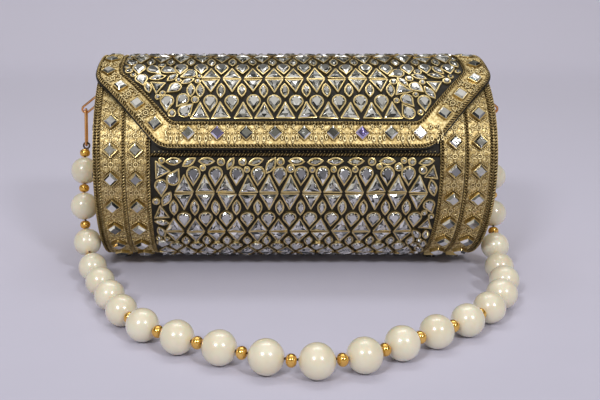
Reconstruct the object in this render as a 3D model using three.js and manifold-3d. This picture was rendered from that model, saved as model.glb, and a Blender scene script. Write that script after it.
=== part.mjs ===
// A round clutch bag set with mirror-cut stones, with a hinged flap and a strap of pearls.
// Millimetres and degrees, +Z up. The bag lies along X and its flap closes to the front, at -Y.
// Angles run round the bag's axis: 0 is the front, 90 the top, 180 the back, -90 the floor.
import * as THREE from "three";
import { ConvexGeometry } from "three/addons/geometries/ConvexGeometry.js";
import { mergeVertices } from "three/addons/utils/BufferGeometryUtils.js";
import Module from "manifold-3d";

const wasm = await Module();
wasm.setup();

// Driving dimensions
const gap = 0.3;              // clearance between pieces that touch
const ringSides = 30;         // flats round the bag
const caseLength = 200;       // over the two rims
const caseRadius = 50.8;      // outside of the case's tube
const caseWall = 2.2;
const capThickness = 1.8;
const rimWidth = 4;           // the double rope at each end
const ropeShoulder = 0.2;     // a rope's outer edge above its band
const ropeWidth = 2;
const ropeHeight = 2;         // a rope's crown above its band's underside
const bandThickness = 1.1;
const outerBandWidth = 10;
const innerBandWidth = 10;

// Square stones
const stoneSide = 5.7;        // over its bezel
const bezelRise = 2;          // above the band
const crownRise = 1.3;        // from the bezel's lip to the table
const flapBezelRise = 0.9;
const flapCrownRise = 0.7;
const tableShare = 0.66;      // the table's side as a share of the stone's
const tableCorner = 0.6;      // where its corners are cut, as a share of its half side
const stoneSink = 0.4;        // how deep a stone's foot goes into its carrier
const chordSink = 0.1;        // more, where the carrier is flat between two slices
const bandStones = 23;        // round each band
const lowestStoneLeft = -94.5;   // angle of the lowest stones on the left-hand bands
const lowestStoneRight = -90;
const bottomRowLift = 1.2;    // degrees between the flap's bottom row and its strip's middle

// Body field and mouth
const fieldThickness = 2.6;
const mouthRopeAngle = 12.8;  // the rope along the front lip
const mouthRopeRadius = 1;
const windowFront = 20;       // the opening under the flap
const windowBack = 140;
const windowMargin = 4;       // case wall left between the opening and the inner bands
const cutSpare = 10;          // how far the cutting block reaches past the wall
const fieldMargin = 1;        // degrees between the body field and the hinge's leaf

// Flap
const flapThickness = 0.9;
const flapClearance = 0.5;    // above the bands' ropes
const flapFront = 15.4;       // angle of the lower edge
const flapBack = 145.5;
const flapOverhang = 1.3;     // past the rim at each end
const flapFoot = 60;          // half the straight lower edge
const cornerReach = 11.4;     // the rounded lower corner, sideways
const cornerRise = 5.1;       // and upward, in degrees
const cornerBend = [[0.48, 0.16], [0.81, 0.5], [1, 1]];   // shares of the reach and the rise
const sideStart = 0.2;        // where the side strips start, as a share of the rise
const slantTop = 56;          // where the slanted edge ends
const slantShort = 1.6;       // how far it stays inside the flap's end there
const slantBlend = 4.5;       // degrees of blend into the end
const frameWidth = 13.6;
const frameThickness = 0.7;
const flapFieldThickness = 1.6;
const flapFieldMargin = 1.5;  // degrees between the flap's field and the hinge's leaf
const frameSplitLeft = 62.5;  // where the frame's bottom strip meets its side strips
const frameSplitRight = 66;
const frameStonePitch = 14.2;
const frameStoneInset = 5;    // the bottom row starts this far inside its right-hand split
const firstStoneLeft = 28.8;  // angles of the lowest stones on the side strips
const firstStoneRight = 34.4;
const flapRopeRadius = 0.95;

// Hinge at the back
const hingeAngle = 150;
const pinRise = 0.4;          // the pin's centre above the underside of the flap's leaf
const knuckleRadius = 2.2;
const pinRadius = 0.9;
const hingeLength = 120;
const knuckleCount = 5;
const barrelSides = 8;
const leafThickness = 1.1;
const leafReach = 5;          // degrees of leaf beyond the pin
const neckShare = 0.4;        // half a case knuckle's neck as a share of its clearance angle
const tongueOverlap = 1;      // degrees of a flap knuckle's tongue on its leaf
const tongueShort = 0.5;      // degrees that the tongue ends short of the pin

// End caps
const capRingInset = 1.8;     // from the disc's rim
const capRingWidth = 8;
const capRingRise = 1.5;
const stapleHeight = 33;      // above the bag's axis
const stapleFront = 4;        // in front of it
const stapleReach = 5.6;
const stapleHalf = 3;
const stapleWire = 0.9;
const stapleBend = 0.45;      // the share of its reach over which the staple bends

// Strap
const pearlDiameter = 14.5;
const pearlBore = 1.1;        // radius
const pearlLatitude = 42;     // of a pearl's outline corners
const goldBeadRadius = 2.8;
const goldBeadLength = 4.4;
const threadRadius = 0.5;
const beadSides = 10;
const linkRadius = 1.9;       // of a link's round ends
const linkWire = 0.6;
const shortLink = 9;          // between the centres of its ends
const longLink = 16;
const linkSides = 12;
const eyeRadius = 1.6;
const knotRadius = 1.5;
const linkLean = 38;          // the short link's slope below level
const longLinkLean = 9;       // the long link's slope forward of upright

// The strap's route, chosen by hand: x, y and the lift above lying on the floor
const strapRoute = [
  [-110.5, -20, 44], [-110, -27.5, 26.5], [-108.5, -31, 9], [-103.5, -47, 0],
  [-88.5, -86, 0], [-71.5, -119.5, 0], [-40.6, -141.6, 0], [-5.6, -156.4, 0],
  [13.7, -155.2, 0], [46.1, -134.4, 0], [76.9, -111.5, 0], [99.6, -77.6, 0],
  [107.7, -39.5, 0], [110.8, -22.5, 8], [111, -13.5, 24], [111, -9.5, 42],
];

const radians = THREE.MathUtils.degToRad;
const degrees = THREE.MathUtils.radToDeg;

// Derived sizes
const seatRadius = caseRadius + gap;
const bandTop = seatRadius + bandThickness;
const ropeTop = seatRadius + ropeHeight;
const tableRadius = bandTop + bezelRise + crownRise;
const halfLength = caseLength / 2;
const rimInner = halfLength - rimWidth;
const midRopeOuter = rimInner - outerBandWidth;
const midRopeInner = midRopeOuter - ropeWidth;
const innerBandEnd = midRopeInner - gap;
const fieldHalf = innerBandEnd - innerBandWidth - ropeWidth - gap;
const flapInner = ropeTop + flapClearance;
const flapOuter = flapInner + flapThickness;
const frameInner = flapOuter + gap;
const frameOuter = frameInner + frameThickness;
const hingeRadius = frameInner + pinRise;
const flapHalf = halfLength + flapOverhang;
const gapAngle = degrees(gap / flapOuter);
const mitreLimit = 0.5;       // keeps a sharp bend's moved corner near it
const axisHeight = tableRadius;
const pearlRadius = pearlDiameter / 2;

const finishes = {
  ground: { color: "#15120e", roughness: 0.7, metalness: 0 },
  brass: { color: "#a8873c", roughness: 0.4, metalness: 1 },
  stones: { color: "#c9ccd2", roughness: 0.15, metalness: 0.8 },
  gold: { color: "#d9a63c", roughness: 0.2, metalness: 1 },
  pearl: { color: "#ece6d6", roughness: 0.25, metalness: 0 },
};

// Solids to cut and join
function solid(geometry) {
  const bare = geometry.clone();
  bare.deleteAttribute("normal");
  bare.deleteAttribute("uv");
  const merged = mergeVertices(bare, 1e-4);
  return new wasm.Manifold(new wasm.Mesh({
    numProp: 3,
    vertProperties: new Float32Array(merged.attributes.position.array),
    triVerts: new Uint32Array(merged.index.array),
  }));
}

function geometryOf(body) {
  const mesh = body.getMesh();
  const geometry = new THREE.BufferGeometry();
  geometry.setAttribute("position", new THREE.BufferAttribute(mesh.vertProperties, 3));
  geometry.setIndex(new THREE.BufferAttribute(mesh.triVerts, 1));
  return geometry;
}

function joined(geometries) {
  return geometryOf(geometries.map(solid).reduce((whole, next) => whole.add(next)));
}

function node(name, geometry, finish, parent) {
  const faceted = geometry.index ? geometry.toNonIndexed() : geometry;
  faceted.computeVertexNormals();
  const mesh = new THREE.Mesh(faceted, new THREE.MeshStandardMaterial(finish));
  mesh.name = name;
  parent.add(mesh);
  return mesh;
}

// A point on the bag, from its place along the axis, its angle and its radius
function onBag(along, angle, radius) {
  const turn = radians(angle);
  return new THREE.Vector3(along, -radius * Math.cos(turn), radius * Math.sin(turn));
}

// A ring round the bag's axis, from a closed outline of [along, radius] read outward-going
function ring(outline, side = 1) {
  const points = outline.map(([along, radius]) => new THREE.Vector2(radius, along * side));
  if (side < 0) points.reverse();
  const last = points[points.length - 1];
  const closes = points[0].x > 0 || last.x > 0;
  if (closes) points.push(points[0].clone());
  return new THREE.LatheGeometry(points, ringSides).rotateZ(-Math.PI / 2);
}

// A strip bent round the axis: each slice is a closed outline of [along, radius] at one angle
function bentStrip(slices) {
  const corners = slices.flatMap(({ angle, outline }) => (
    outline.map(([along, radius]) => onBag(along, angle, radius))
  ));
  const size = slices[0].outline.length;
  const end = (slices.length - 1) * size;
  const faces = [];
  for (let fan = 1; fan < size - 1; fan += 1) {
    faces.push(0, fan, fan + 1, end, end + fan + 1, end + fan);
  }
  for (let step = 0; step < slices.length - 1; step += 1) {
    for (let edge = 0; edge < size; edge += 1) {
      const here = step * size + edge;
      const next = step * size + (edge + 1) % size;
      faces.push(next, here, here + size, next, here + size, next + size);
    }
  }
  const geometry = new THREE.BufferGeometry().setFromPoints(corners);
  geometry.setIndex(faces);
  return geometry;
}

function bentPlate(sections, inner, outer) {
  return bentStrip(sections.map(({ angle, from, to }) => (
    { angle, outline: [[from, inner], [to, inner], [to, outer], [from, outer]] }
  )));
}

// Even angles from one to another, at most one flat of the rings apart
function angleSteps(from, to) {
  const count = Math.ceil(Math.abs(to - from) / (360 / ringSides));
  return Array.from({ length: count + 1 }, (_, step) => from + (to - from) * step / count);
}

function plainPlate(half, from, to, inner, outer) {
  const sections = angleSteps(from, to).map((angle) => ({ angle, from: -half, to: half }));
  return bentPlate(sections, inner, outer);
}

// A tube of a few sides along a list of points
function wire(points, radius, sides, steps) {
  const section = new THREE.Shape(
    Array.from({ length: sides }, (_, side) => {
      const turn = 2 * Math.PI * side / sides;
      return new THREE.Vector2(radius * Math.cos(turn), radius * Math.sin(turn));
    }),
  );
  const path = new THREE.CatmullRomCurve3(points, false, "centripetal");
  return new THREE.ExtrudeGeometry(section, { steps, extrudePath: path, bevelEnabled: false });
}

// A square stone in its bezel, with a table and eight crown facets, sunk into what carries it
function squareStone(rise, crown) {
  const half = stoneSide / 2;
  const table = half * tableShare;
  const nip = table * tableCorner;
  const points = [];
  for (const [u, v] of [[1, 1], [-1, 1], [-1, -1], [1, -1]]) {
    points.push(new THREE.Vector3(u * half, v * half, -stoneSink));
    points.push(new THREE.Vector3(u * half, v * half, rise));
    points.push(new THREE.Vector3(u * table, v * nip, rise + crown));
    points.push(new THREE.Vector3(u * nip, v * table, rise + crown));
  }
  return new ConvexGeometry(points);
}

// The stone set on the bag: its own +Z points outward and its turn is about that line
function setStone(along, angle, radius, rise, crown, turn) {
  const outward = onBag(0, angle, 1);
  const sideways = new THREE.Vector3(1, 0, 0);
  const upward = new THREE.Vector3().crossVectors(outward, sideways);
  const place = new THREE.Matrix4().makeBasis(sideways, upward, outward);
  place.setPosition(onBag(along, angle, radius));
  return squareStone(rise, crown).rotateZ(radians(turn)).applyMatrix4(place);
}

// The flap's right-hand edge unrolled: half width by angle, from the lower edge to the back
const outerEdge = [
  { angle: flapFront, half: flapFoot },
  ...cornerBend.map(([reach, rise]) => (
    { angle: flapFront + cornerRise * rise, half: flapFoot + cornerReach * reach }
  )),
  { angle: slantTop, half: flapHalf - slantShort },
  { angle: slantTop + slantBlend, half: flapHalf },
  { angle: flapBack, half: flapHalf },
];

// The same edge moved inward by a distance, square to itself, corner by corner
function movedEdge(distance) {
  const mmPerDegree = radians(flapOuter);
  const flat = outerEdge.map(({ angle, half }) => new THREE.Vector2(half, angle * mmPerDegree));
  return flat.map((point, index) => {
    const before = index ? point.clone().sub(flat[index - 1]).normalize() : new THREE.Vector2(1, 0);
    const after = index < flat.length - 1
      ? flat[index + 1].clone().sub(point).normalize() : new THREE.Vector2(0, 1);
    const normal = before.clone().add(after).normalize();
    const reach = distance / Math.max(normal.dot(before), mitreLimit);
    const angle = (point.y + normal.x * reach) / mmPerDegree;
    return { angle: index < flat.length - 1 ? angle : flapBack, half: point.x - normal.y * reach };
  });
}

// The moved edge without the corners that its bends swallow
function insetEdge(distance) {
  const moved = movedEdge(distance);
  return moved.filter(({ angle }, index) => moved.slice(index + 1).every((later) => later.angle > angle));
}

function halfAt(edge, angle) {
  const after = edge.findIndex((corner) => corner.angle >= angle);
  if (after < 0) return edge[edge.length - 1].half;
  if (after === 0) return edge[0].half;
  const low = edge[after - 1];
  const high = edge[after];
  return low.half + (high.half - low.half) * (angle - low.angle) / (high.angle - low.angle);
}

// Every angle at which an edge bends, with even steps between, inside a range
function edgeAngles(edges, from, to) {
  const bends = edges.flat().map((corner) => corner.angle).filter((angle) => angle > from && angle < to);
  const marks = [from, ...bends, to].sort((a, b) => a - b);
  const spread = marks.reduce((kept, angle) => (
    kept.length && angle - kept[kept.length - 1] < gapAngle / 4 ? kept : [...kept, angle]
  ), []);
  return spread.flatMap((angle, index) => (
    index ? angleSteps(spread[index - 1], angle).slice(1) : [angle]
  ));
}

const model = new THREE.Group();
const bag = new THREE.Group();
bag.position.z = axisHeight;
model.add(bag);

// Case: a tube with an opening under the flap
function caseShell() {
  const half = rimInner + gap;
  const inner = caseRadius - caseWall;
  const tube = ring([[-half, inner], [-half, caseRadius], [half, caseRadius], [half, inner]]);
  const block = [inner - cutSpare, caseRadius + cutSpare];
  const opening = plainPlate(fieldHalf - windowMargin, windowFront, windowBack, ...block);
  return geometryOf(solid(tube).subtract(solid(opening)));
}
node("case_shell", caseShell(), finishes.ground, bag);

// The bands: stamped strips with rope edging soldered on
const outerBandOutline = [
  [midRopeInner, seatRadius],
  [midRopeInner, bandTop + ropeShoulder],
  [midRopeInner + ropeWidth / 2, ropeTop],
  [midRopeOuter, bandTop],
  [rimInner, bandTop],
  [rimInner + ropeWidth / 2, ropeTop],
  [halfLength - ropeWidth / 2, ropeTop],
  [halfLength, bandTop + ropeShoulder],
  [halfLength, seatRadius],
];
const innerBandOutline = [
  [fieldHalf + gap, seatRadius],
  [fieldHalf + gap, bandTop + ropeShoulder],
  [fieldHalf + gap + ropeWidth / 2, ropeTop],
  [fieldHalf + gap + ropeWidth, bandTop],
  [innerBandEnd, bandTop],
  [innerBandEnd, seatRadius],
];
const outerStonesAt = (midRopeOuter + rimInner) / 2;
const innerStonesAt = (fieldHalf + gap + ropeWidth + innerBandEnd) / 2;

// Stones are left out where the flap lies over the band. The lowest one is set straight down,
// so that the bag rests on its table.
const bandPitch = 360 / bandStones;
function bandWithStones(outline, stonesAt, lowest, side) {
  const flat = bandTop * Math.cos(Math.PI / ringSides);
  const behind = hingeAngle + degrees(stoneSide / bandTop);
  const stones = [];
  for (let index = 0; index < bandStones; index += 1) {
    const even = lowest + bandPitch * index;
    const angle = Math.abs(even + 90) < bandPitch / 2 ? -90 : even;
    const underFlap = halfAt(outerEdge, angle) > stonesAt - stoneSide;
    const hidden = underFlap && angle > flapFront && angle < behind;
    const rise = tableRadius - crownRise - flat;
    if (!hidden) stones.push(setStone(stonesAt * side, angle, flat, rise, crownRise, 45));
  }
  return joined([ring(outline, side), ...stones]);
}
for (const [label, side, lowest] of [["left", -1, lowestStoneLeft], ["right", 1, lowestStoneRight]]) {
  const outer = bandWithStones(outerBandOutline, outerStonesAt, lowest, side);
  const inner = bandWithStones(innerBandOutline, innerStonesAt, lowest, side);
  node(`band_outer_${label}`, outer, finishes.brass, bag);
  node(`band_inner_${label}`, inner, finishes.brass, bag);
}

// Body field: the stone-set ground from the front lip, under the bag and up the back
const fieldFront = mouthRopeAngle - degrees((mouthRopeRadius + gap) / seatRadius);
const fieldBack = hingeAngle + leafReach + fieldMargin - 360;
node("body_field", plainPlate(fieldHalf, fieldBack, fieldFront, seatRadius, seatRadius + fieldThickness),
  finishes.stones, bag);

function straightRope(half, angle, radius, thickness) {
  return wire([onBag(-half, angle, radius), onBag(half, angle, radius)], thickness, 6, 1);
}
node("mouth_rope", straightRope(fieldHalf, mouthRopeAngle, seatRadius + mouthRopeRadius, mouthRopeRadius),
  finishes.brass, bag);

// Flap: shell, stone field and the frame in three strips, each with its rope edging.
// Every layer is sliced at the same angles, so that they lie parallel.
const innerEdge = insetEdge(frameWidth);
const fieldEdge = insetEdge(frameWidth + gap);

const frameTop = innerEdge[0].angle - gapAngle;
const fieldTop = hingeAngle - degrees((knuckleRadius + gap) / hingeRadius) - leafReach - flapFieldMargin;
const frameStart = flapFront + cornerRise * sideStart;
const marks = [frameStart, frameTop, innerEdge[0].angle, fieldEdge[0].angle, fieldTop]
  .map((angle) => ({ angle }));
const flapAngles = edgeAngles([outerEdge, innerEdge, marks], flapFront, flapBack);

function flapLayer(edge, from, to, inner, outer) {
  const sections = flapAngles.filter((angle) => angle >= from && angle <= to)
    .map((angle) => ({ angle, from: -halfAt(edge, angle), to: halfAt(edge, angle) }));
  return bentPlate(sections, inner, outer);
}
node("flap_shell", flapLayer(outerEdge, flapFront, flapBack, flapInner, flapOuter), finishes.ground, bag);
const flapFieldOuter = frameInner + flapFieldThickness;
node("flap_field", flapLayer(fieldEdge, fieldEdge[0].angle, fieldTop, frameInner, flapFieldOuter),
  finishes.stones, bag);

function frameStone(along, angle, turn) {
  return setStone(along, angle, frameOuter - chordSink, flapBezelRise + chordSink, flapCrownRise, turn);
}

// The middle of a side strip unrolled, from the slant's foot to the back, and even places along it
const mmPerDegree = radians(flapOuter);
const [foot, ...rest] = movedEdge(frameWidth / 2).slice(3)
  .map(({ angle, half }) => new THREE.Vector2(half, angle * mmPerDegree));
const middleLine = new THREE.CurvePath();
rest.reduce((from, to) => {
  middleLine.add(new THREE.LineCurve(from, to));
  return to;
}, foot);
function placesAlong(firstAngle) {
  const total = middleLine.getLength();
  const slant = middleLine.curves[0];
  const rise = slant.getTangent(0).y;
  const first = (firstAngle * mmPerDegree - foot.y) / rise;
  const places = [];
  for (let walked = first; walked < total - stoneSide; walked += frameStonePitch) {
    const point = middleLine.getPointAt(walked / total);
    const tangent = middleLine.getTangentAt(walked / total);
    const onSlant = walked < slant.getLength();
    const turn = onSlant ? degrees(Math.atan2(tangent.y, tangent.x)) : 45;
    places.push({ along: point.x, angle: point.y / mmPerDegree, turn });
  }
  return places;
}
const ropeCrown = frameOuter + flapRopeRadius;
function frameBottom() {
  const lift = degrees(flapRopeRadius / flapOuter);
  const slices = [
    [flapFront, frameOuter + flapRopeRadius / 2],
    [flapFront + lift, ropeCrown],
    [flapFront + 2 * lift, frameOuter],
    [frameTop - 2 * lift, frameOuter],
    [frameTop - lift, ropeCrown],
    [frameTop, frameOuter + flapRopeRadius / 2],
  ];
  const plate = bentStrip(slices.map(([angle, outer]) => {
    const half = halfAt(outerEdge, angle);
    const [from, to] = [-Math.min(frameSplitLeft, half), Math.min(frameSplitRight, half)];
    return { angle, outline: [[from, frameInner], [to, frameInner], [to, outer], [from, outer]] };
  }));
  const stones = [];
  const last = -frameSplitLeft + frameStoneInset;
  for (let along = frameSplitRight - frameStoneInset; along > last; along -= frameStonePitch) {
    stones.push(frameStone(along, (flapFront + frameTop) / 2 + bottomRowLift, 45));
  }
  return joined([plate, ...stones]);
}
node("flap_frame_bottom", frameBottom(), finishes.brass, bag);

// One side's strip, sliced across with a rope at each edge
function frameSide(side, split, firstStone) {
  const slices = flapAngles.filter((angle) => angle >= frameStart)
    .map((angle) => {
      const near = angle < innerEdge[0].angle ? split + gap : halfAt(innerEdge, angle);
      const far = halfAt(outerEdge, angle);
      const rope = Math.min(flapRopeRadius, (far - near) / 5);
      const outline = [
        [near, frameInner],
        [far, frameInner],
        [far, frameOuter + rope / 2],
        [far - rope, frameOuter + rope],
        [far - 2 * rope, frameOuter],
        [near + 2 * rope, frameOuter],
        [near + rope, frameOuter + rope],
        [near, frameOuter + rope / 2],
      ].map(([along, radius]) => [along * side, radius]);
      return { angle, outline: side < 0 ? outline.reverse() : outline };
    });
  const plate = bentStrip(slices);
  const stones = placesAlong(firstStone)
    .map(({ along, angle, turn }) => frameStone(along * side, angle, turn * side));
  return joined([plate, ...stones]);
}
node("flap_frame_left", frameSide(-1, frameSplitLeft, firstStoneLeft), finishes.brass, bag);
node("flap_frame_right", frameSide(1, frameSplitRight, firstStoneRight), finishes.brass, bag);

// Hinge: five knuckles on a pin, three on the case and two on the flap
const knuckleLength = hingeLength / knuckleCount;
const hingePlace = onBag(0, hingeAngle, hingeRadius);

function barrel(from, to, radius) {
  return new THREE.CylinderGeometry(radius, radius, to - from, barrelSides)
    .rotateZ(Math.PI / 2)
    .translate((from + to) / 2, hingePlace.y, hingePlace.z);
}

function slab(from, to, angleFrom, angleTo, inner, outer) {
  const sections = [angleFrom, angleTo].map((angle) => ({ angle, from, to }));
  return bentPlate(sections, inner, outer);
}

function knuckleSpans(first) {
  const spans = [];
  for (let index = first; index < knuckleCount; index += 2) {
    const from = -hingeLength / 2 + index * knuckleLength;
    spans.push([from + gap / 2, from + knuckleLength - gap / 2]);
  }
  return spans;
}

function withBore(geometries) {
  const bore = barrel(-hingeLength, hingeLength, pinRadius + gap);
  return geometryOf(geometries.map(solid).reduce((whole, next) => whole.add(next)).subtract(solid(bore)));
}

function caseHinge() {
  const half = hingeLength / 2;
  const clear = degrees((knuckleRadius + gap) / hingeRadius);
  const neck = clear * neckShare;
  const outer = seatRadius + leafThickness;
  const leaf = slab(-half, half, hingeAngle - clear, hingeAngle + leafReach, seatRadius, outer);
  const knuckles = knuckleSpans(0).flatMap(([from, to]) => [
    barrel(from, to, knuckleRadius),
    slab(from, to, hingeAngle - neck, hingeAngle + neck, seatRadius + leafThickness / 2, hingeRadius),
  ]);
  return withBore([leaf, ...knuckles]);
}
node("case_hinge", caseHinge(), finishes.brass, bag);

function flapHinge() {
  const half = hingeLength / 2;
  const clear = degrees((knuckleRadius + 2 * gap) / hingeRadius);
  const back = hingeAngle - clear;
  const outer = frameInner + leafThickness;
  const leaf = slab(-half, half, back - leafReach, back, frameInner, outer);
  const knuckles = knuckleSpans(1).flatMap(([from, to]) => [
    barrel(from, to, knuckleRadius),
    slab(from, to, back - tongueOverlap, hingeAngle - tongueShort, frameInner, outer),
  ]);
  return withBore([leaf, ...knuckles]);
}
node("flap_hinge", flapHinge(), finishes.brass, bag);
node("hinge_pin", barrel(-hingeLength / 2, hingeLength / 2, pinRadius), finishes.brass, bag);

// End caps: a disc, the raised ring that carries its stones, and a staple for the strap
const capFace = rimInner + 2 * gap + capThickness;
const capRingOuter = caseRadius - capRingInset;
const capRingInner = capRingOuter - capRingWidth;
function endCap(side) {
  const inner = rimInner + 2 * gap;
  const disc = ring([
    [inner, 0], [inner, caseRadius], [capFace, caseRadius], [capFace, capRingOuter],
    [capFace + capRingRise, capRingOuter], [capFace + capRingRise, capRingInner], [capFace, capRingInner],
    [capFace, 0],
  ], side);
  const reach = capFace + stapleReach;
  const shoulder = reach - stapleReach * stapleBend;
  const staple = wire([
    [inner + capThickness / 2, -stapleHalf], [shoulder, -stapleHalf], [reach, 0],
    [shoulder, stapleHalf], [inner + capThickness / 2, stapleHalf],
  ].map(([along, y]) => new THREE.Vector3(along * side, y - stapleFront, stapleHeight)), stapleWire, 6, 10);
  return joined([disc, staple]);
}
node("end_cap_left", endCap(-1), finishes.brass, bag);
node("end_cap_right", endCap(1), finishes.brass, bag);

// A torus whose halves are pulled apart by a length, lying in the plane of its two directions
function longTorus(centre, direction, across, length, radius, thickness, sides) {
  const geometry = new THREE.TorusGeometry(radius, thickness, 5, sides).rotateZ(Math.PI / sides);
  const position = geometry.attributes.position;
  for (let index = 0; index < position.count; index += 1) {
    const x = position.getX(index);
    if (x > 0) position.setX(index, x + length);
  }
  const third = new THREE.Vector3().crossVectors(direction, across).normalize();
  const place = new THREE.Matrix4().makeBasis(direction, across, third).setPosition(centre);
  return geometry.applyMatrix4(place);
}

function link(centre, direction, across, length) {
  return longTorus(centre, direction, across, length, linkRadius, linkWire, linkSides);
}

// The two links at one end, and where the string's eye hangs in the lower one
function strapEnd(side) {
  const start = new THREE.Vector3(side * (capFace + stapleReach), -stapleFront, axisHeight + stapleHeight);
  const lean = radians(linkLean);
  const out = new THREE.Vector3(side * Math.cos(lean), 0, -Math.sin(lean));
  const up = new THREE.Vector3(side * Math.sin(lean), 0, Math.cos(lean));
  const corner = start.clone().addScaledVector(out, shortLink);
  corner.z -= linkRadius;
  const swing = radians(longLinkLean);
  const down = new THREE.Vector3(0, -Math.sin(swing), -Math.cos(swing));
  const forward = new THREE.Vector3(0, -Math.cos(swing), Math.sin(swing));
  const eye = corner.clone().addScaledVector(down, longLink + linkRadius);
  return { start, out, up, corner, down, forward, eye };
}
const ends = { left: strapEnd(-1), right: strapEnd(1) };
for (const [label, end] of Object.entries(ends)) {
  const short = link(end.start, end.out, end.up, shortLink);
  const long = link(end.corner, end.down, end.forward, longLink);
  node(`strap_link_short_${label}`, short, finishes.gold, model);
  node(`strap_link_long_${label}`, long, finishes.gold, model);
}

// Strap: pearls on a thread with a gold bead between neighbours, an eye and a knot at each end
const knotDrop = eyeRadius + knotRadius;
const leftKnot = ends.left.eye.clone().addScaledVector(ends.left.down, knotDrop);
const rightKnot = ends.right.eye.clone().addScaledVector(ends.right.down, knotDrop);
const route = new THREE.CatmullRomCurve3([
  leftKnot,
  ...strapRoute.map(([x, y, lift]) => new THREE.Vector3(x, y, pearlRadius + lift)),
  rightKnot,
], false, "centripetal");
route.arcLengthDivisions = 1200;
const routeLength = route.getLength();
const beadPitch = pearlDiameter + goldBeadLength + 2 * gap;
const lead = knotRadius + goldBeadLength / 2;
const pearlCount = Math.floor((routeLength - 2 * lead) / beadPitch);
const beadSpacing = (routeLength - 2 * lead) / pearlCount;

// Gold beads sit on the route, and each pearl on the straight thread between two of them
const beads = Array.from({ length: pearlCount + 1 }, (_, index) => {
  const share = (lead + index * beadSpacing) / routeLength;
  const middle = route.getPointAt(share);
  const direction = route.getTangentAt(share);
  middle.z = Math.max(middle.z, pearlRadius);
  return {
    middle,
    direction,
    entry: middle.clone().addScaledVector(direction, -goldBeadLength / 2),
    exit: middle.clone().addScaledVector(direction, goldBeadLength / 2),
  };
});

function pearl(index) {
  const from = beads[index].exit;
  const to = beads[index + 1].entry;
  const halfBore = Math.sqrt(pearlRadius ** 2 - pearlBore ** 2);
  const points = [
    new THREE.Vector2(pearlBore, -halfBore),
    ...[-pearlLatitude, 0, pearlLatitude].map((latitude) => new THREE.Vector2(
      pearlRadius * Math.cos(radians(latitude)), pearlRadius * Math.sin(radians(latitude)),
    )),
    new THREE.Vector2(pearlBore, halfBore),
    new THREE.Vector2(pearlBore, -halfBore),
  ];
  const direction = to.clone().sub(from).normalize();
  const turn = new THREE.Quaternion().setFromUnitVectors(new THREE.Vector3(0, 1, 0), direction);
  const middle = from.clone().add(to).multiplyScalar(0.5);
  return new THREE.LatheGeometry(points, beadSides).applyQuaternion(turn).translate(...middle.toArray());
}
for (let index = 0; index < pearlCount; index += 1) {
  node(`pearl_${String(index + 1).padStart(2, "0")}`, pearl(index), finishes.pearl, model);
}

// A round body swept through rings of given centre, direction and radius, closed at both ends
function sweptRings(rings) {
  const corners = [];
  let across = new THREE.Vector3(1, 0, 0);
  for (const { middle, direction, radius } of rings) {
    across = across.clone().addScaledVector(direction, -across.dot(direction)).normalize();
    const other = new THREE.Vector3().crossVectors(direction, across);
    for (let side = 0; side < beadSides; side += 1) {
      const turn = 2 * Math.PI * side / beadSides;
      corners.push(middle.clone().addScaledVector(across, radius * Math.cos(turn))
        .addScaledVector(other, radius * Math.sin(turn)));
    }
  }
  const faces = [];
  const end = (rings.length - 1) * beadSides;
  for (let fan = 1; fan < beadSides - 1; fan += 1) {
    faces.push(0, fan + 1, fan, end, end + fan, end + fan + 1);
  }
  for (let step = 0; step < rings.length - 1; step += 1) {
    for (let side = 0; side < beadSides; side += 1) {
      const here = step * beadSides + side;
      const next = step * beadSides + (side + 1) % beadSides;
      faces.push(here, next, next + beadSides, here, next + beadSides, here + beadSides);
    }
  }
  const geometry = new THREE.BufferGeometry().setFromPoints(corners);
  geometry.setIndex(faces);
  return geometry;
}

// A gold bead's outline: shares of its half length, and radii
const beadProfile = [[-1, threadRadius], [-0.5, goldBeadRadius], [0.5, goldBeadRadius], [1, threadRadius]];

function string() {
  const rings = [{ middle: leftKnot, direction: beads[0].direction, radius: threadRadius }];
  for (const { middle, direction } of beads) {
    for (const [share, radius] of beadProfile) {
      const at = middle.clone().addScaledVector(direction, share * goldBeadLength / 2);
      rings.push({ middle: at, direction, radius });
    }
  }
  rings.push({ middle: rightKnot, direction: beads[pearlCount].direction, radius: threadRadius });
  const eyes = [[ends.left, leftKnot], [ends.right, rightKnot]].flatMap(([end, knot]) => [
    longTorus(end.eye, end.down, new THREE.Vector3().crossVectors(end.down, end.forward), 0,
      eyeRadius, threadRadius, beadSides),
    new THREE.SphereGeometry(knotRadius, beadSides, 4).translate(...knot.toArray()),
  ]);
  return joined([sweptRings(rings), ...eyes]);
}
node("strap_string", string(), finishes.gold, model);

// The origin is on the floor under the middle of everything
model.updateMatrixWorld(true);
const reach = new THREE.Box3().setFromObject(model, true);
const middle = reach.getCenter(new THREE.Vector3());
model.position.set(-middle.x, -middle.y, -reach.min.z);
model.updateMatrixWorld(true);

export default model;
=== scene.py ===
# %% [markdown]
# A stone-set clutch with a pearl strap.
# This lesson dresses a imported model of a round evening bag. The bag is a tube of metal, closed
# by two discs, with a curved flap hinged at the back. Black lac carries rows of foil-backed
# glass stones in gold bezels, stamped brass strips edge the case and the flap, and a string of
# pearls is the strap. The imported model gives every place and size. Here each plain solid gets
# a finely made piece that stands exactly where the solid is.

# %% Load the frame
import math

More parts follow.
